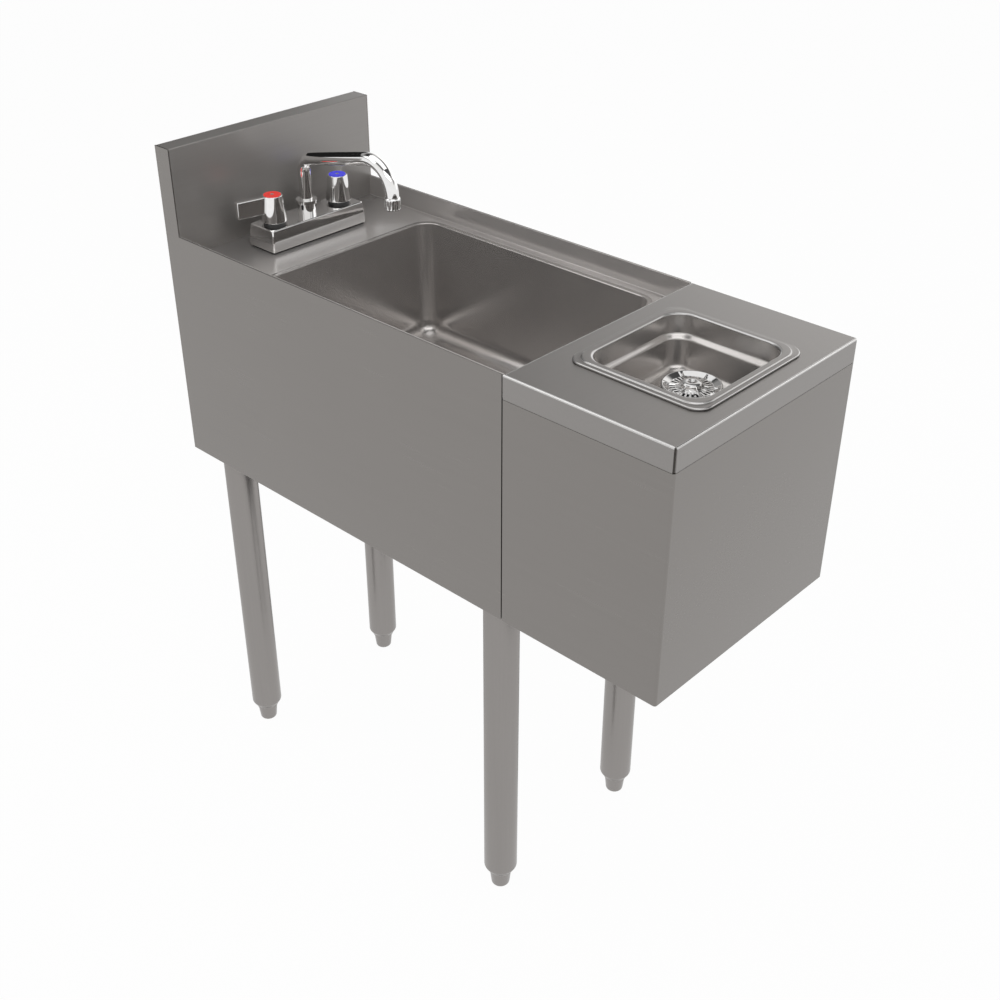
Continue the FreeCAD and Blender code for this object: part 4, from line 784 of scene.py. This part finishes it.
head_turn = np.linspace(0, 2 * np.pi, HEAD_ROUND, endpoint=False)
slots = pulses(HEAD_SLOTS, SLOT_SHARE, head_turn)
ribs = pulses(HEAD_RIBS, RIB_SHARE, head_turn)
head_radius, head_height, cut_in, cut_down, rise = (column[:, None] for column in HEAD_ROWS.T)
slotted_radius = head_radius - cut_in * slots
slotted_height = head_height - cut_down * (slots * (1 - ribs)) + rise * ribs
head_loops = np.stack([HEAD_X + slotted_radius * np.cos(head_turn),
                       HEAD_Y + slotted_radius * np.sin(head_turn), slotted_height], axis=-1)
piece("spray_head", [loft(head_loops, caps=True)], "spray", ["rinser_head"], "rinser_press")

# %% [markdown]
# Under the head a small spring pushes it back up. Its wire is a circle carried along a helix: the
# height climbs with the angle, and the end turns are cut off square.

# %% Return spring
SPRING_LOW, SPRING_HIGH, SPRING_RADIUS, SPRING_WIRE, SPRING_TURNS = 694.0, 711.5, 6.2, 1.4, 6

along = np.linspace(0, 2 * np.pi * SPRING_TURNS, SPRING_TURNS * 36 + 1)[:, None]
about = np.linspace(0, 2 * np.pi, 12, endpoint=False)
wire_radius = SPRING_RADIUS + SPRING_WIRE / 2 * np.cos(about)
climb = (SPRING_HIGH - SPRING_LOW - SPRING_WIRE) / (2 * np.pi * SPRING_TURNS)
coil = np.stack([HEAD_X + wire_radius * np.cos(along), HEAD_Y + wire_radius * np.sin(along),
                 SPRING_LOW + SPRING_WIRE / 2 * (1 + np.sin(about)) + climb * along], axis=-1)
spring = piece("return_spring", [loft(coil, caps=True)], "turned", ["rinser_spring"])
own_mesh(spring)

# %% [markdown]
# The faucet's body is a plated casting. Castings have draft, so its sides lean in a little towards the
# top, and that is what makes the long face show the dark bowl in its upper half and the bright deck in
# its lower half.

# %% Faucet body
FAUCET_TOP, FAUCET_UNDER = 751.0, 724.4
FAUCET_HALF_X, FAUCET_HALF_Y, FAUCET_CORNER = 73.0, 23.0, 2.4
FAUCET_DRAFT, FAUCET_ROUND = 1.7, 1.4
# inset, and height above the underside
FAUCET_ROWS = [(0.6, 0.0), (0.0, 0.6), (0.0, 9.0), (0.15, 13.0), (0.5, 17.0), (1.05, 21.0),
               (FAUCET_DRAFT, 25.0)]

body_section = [(inset, FAUCET_UNDER + rise) for inset, rise in FAUCET_ROWS]
body_section += edge_round(FAUCET_DRAFT, FAUCET_TOP - FAUCET_ROUND, FAUCET_ROUND)
body_loops = [rounded_loop(FAUCET_HALF_X - inset, FAUCET_HALF_Y - inset, FAUCET_CORNER, z,
                           (0, FAUCET_Y), steps=6) for inset, z in body_section]
piece("faucet_casting", [loft(body_loops, caps=True)], "chrome", ["faucet_body"])

# %% [markdown]
# The sink stands on white studio paper. Paper that is lit only by lamps would turn grey away from them,
# so rays that come straight from the camera, or by way of metal, see it as almost pure white. The rest
# of it is a plain pale surface, which takes a faint shadow under the sink.

# %% Floor
FLOOR_HALF = 14.0
PAPER, GLOW = (0.9, 0.9, 0.9, 1), 0.97

floor_mesh = bpy.data.meshes.new("floor")
floor_mesh.from_pydata([(-FLOOR_HALF, -FLOOR_HALF, 0), (FLOOR_HALF, -FLOOR_HALF, 0),
                        (FLOOR_HALF, FLOOR_HALF, 0), (-FLOOR_HALF, FLOOR_HALF, 0)], [], [(0, 1, 2, 3)])
floor = bpy.data.objects.new("floor", floor_mesh)
bpy.context.collection.objects.link(floor)
floor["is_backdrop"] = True

paper = new_finish("floor_paper")
ray = paper.tree.nodes.new("ShaderNodeLightPath")
camera_ray, glossy_ray, clear_ray = (Field(paper, ray.outputs[f"Is {kind} Ray"])
                                     for kind in ("Camera", "Glossy", "Transmission"))
seen = paper.node("ShaderNodeMath", {"operation": "ADD", "use_clamp": True}, {
    0: camera_ray + glossy_ray, 1: clear_ray})
plain = paper.node("ShaderNodeBsdfDiffuse", {}, {"Color": PAPER})
white = paper.node("ShaderNodeEmission", {}, {"Color": (1, 1, 1, 1), "Strength": 1.0})
floor_mesh.materials.append(paper.close(paper.node("ShaderNodeMixShader", {}, {
    0: seen * GLOW, 1: plain, 2: white})))
print("floor", 2 * FLOOR_HALF, "m wide")

# %% [markdown]
# Steel shows what is round it, so the sky is the most important light. It is bright from the horizon up
# to about 35 degrees and dark above that, as in a studio with white walls and a dark ceiling. Three
# soft zones give sheets that face different ways different tones: dimmer behind and in front, and
# brighter at the right.

# %% Sky
# sine of the height angle, and the colour there
SKY_STOPS = [(0.0, (0.99, 0.99, 0.99)), (0.57, (0.93, 0.92, 0.91)), (0.68, (0.10, 0.10, 0.10)),
             (1.0, (0.06, 0.06, 0.06))]
DIMMER, BRIGHTER = 0.6, 0.4

sky = Finish(bpy.data.worlds.new("studio_sky"), "ShaderNodeOutputWorld")
bpy.context.scene.world = sky.owner
direction = sky.node("ShaderNodeTexCoord", output="Generated")
across, away, upward = (sky.node("ShaderNodeSeparateXYZ", {}, {"Vector": direction}, axis)
                        for axis in "XYZ")


def ramp(value, stops):
    """A colour by a value, straight from each stop to the next."""
    made = sky.node("ShaderNodeValToRGB", {}, {"Fac": value})
    elements = made.socket.node.color_ramp.elements
    while len(elements) < len(stops):
        elements.new(1.0)
    for element, (place, colour) in zip(elements, stops):
        element.position = place
        element.color = (*colour, 1)
    return made


def soft_step(value, low, high):
    """0 below low, 1 above high, and a smooth rise between them."""
    return sky.node("ShaderNodeMapRange", {"interpolation_type": "SMOOTHSTEP"}, {
        "Value": value, "From Min": low, "From Max": high})


behind = soft_step(away, 0.48, 0.66) * soft_step(upward, 0.20, 0.34)
before = soft_step(0 - away, 0.50, 0.65) * soft_step(across, 0.2, 0.4) * soft_step(upward, 0.22, 0.32)
beside = soft_step(across, 0.70, 0.86)
strength = (1 - behind * DIMMER) * (1 - before * DIMMER) * (beside * BRIGHTER + 1)
sky.close(sky.node("ShaderNodeBackground", {}, {"Color": ramp(upward, SKY_STOPS), "Strength": strength}))
print("sky of", len(sky.tree.nodes), "nodes")

# %% [markdown]
# Four soft boxes make the highlights: a wide one overhead, a key above the camera's side that finds the
# round corners of bowl and pan, and one at each side for the rails and folds. A dark card stands far
# behind the sink. Chrome mirrors it, and that draws the black band along the top of the spout. The
# camera itself doesn't see it.

# %% Lamps and card
LAMP_TARGET = Vector((0, 0, 0.7))
# place, width, height and power
LAMPS = {
    "top_box": ((0.0, 0.35, 3.0), 2.6, 2.6, 25),
    "key_box": ((-1.29, -1.67, 2.77), 3.0, 1.0, 18),
    "left_box": ((-1.27, 1.28, 2.19), 1.2, 1.2, 6),
    "right_box": ((4.63, -3.09, 3.42), 1.2, 1.2, 7),
}
CARD_LEFT, CARD_RIGHT, CARD_LOW, CARD_HIGH, CARD_Y = -2.8, 3.9, 0.8, 3.4, 5.0
FELT = (0.02, 0.02, 0.02, 1)

for name, (place, width, height, power) in LAMPS.items():
    lamp = bpy.data.lights.new(name, "AREA")
    lamp.shape = "RECTANGLE"
    lamp.size = width
    lamp.size_y = height
    lamp.energy = power
    softbox = bpy.data.objects.new(name, lamp)
    softbox.location = place
    softbox.rotation_euler = (LAMP_TARGET - Vector(place)).to_track_quat("-Z", "Y").to_euler()
    bpy.context.collection.objects.link(softbox)

card_mesh = bpy.data.meshes.new("dark_card")
card_mesh.from_pydata([(CARD_LEFT, CARD_Y, CARD_LOW), (CARD_RIGHT, CARD_Y, CARD_LOW),
                       (CARD_RIGHT, CARD_Y, CARD_HIGH), (CARD_LEFT, CARD_Y, CARD_HIGH)],
                      [], [(0, 1, 2, 3)])
card = bpy.data.objects.new("dark_card", card_mesh)
card.visible_camera = False
bpy.context.collection.objects.link(card)
card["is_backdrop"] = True
felt = new_finish("card_felt")
card_mesh.materials.append(felt.close(felt.node("ShaderNodeBsdfDiffuse", {}, {"Color": FELT})))
print(len(bpy.data.lights), "lamps and a card")

# %% [markdown]
# Last, the dressed sink's box is measured and printed. It should be as large as the CAD model's,
# because dressing a part must not change its size.

# %% Finish the frame
low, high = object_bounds()
print("visual box", [round(top - bottom, 4) for bottom, top in zip(low, high)])
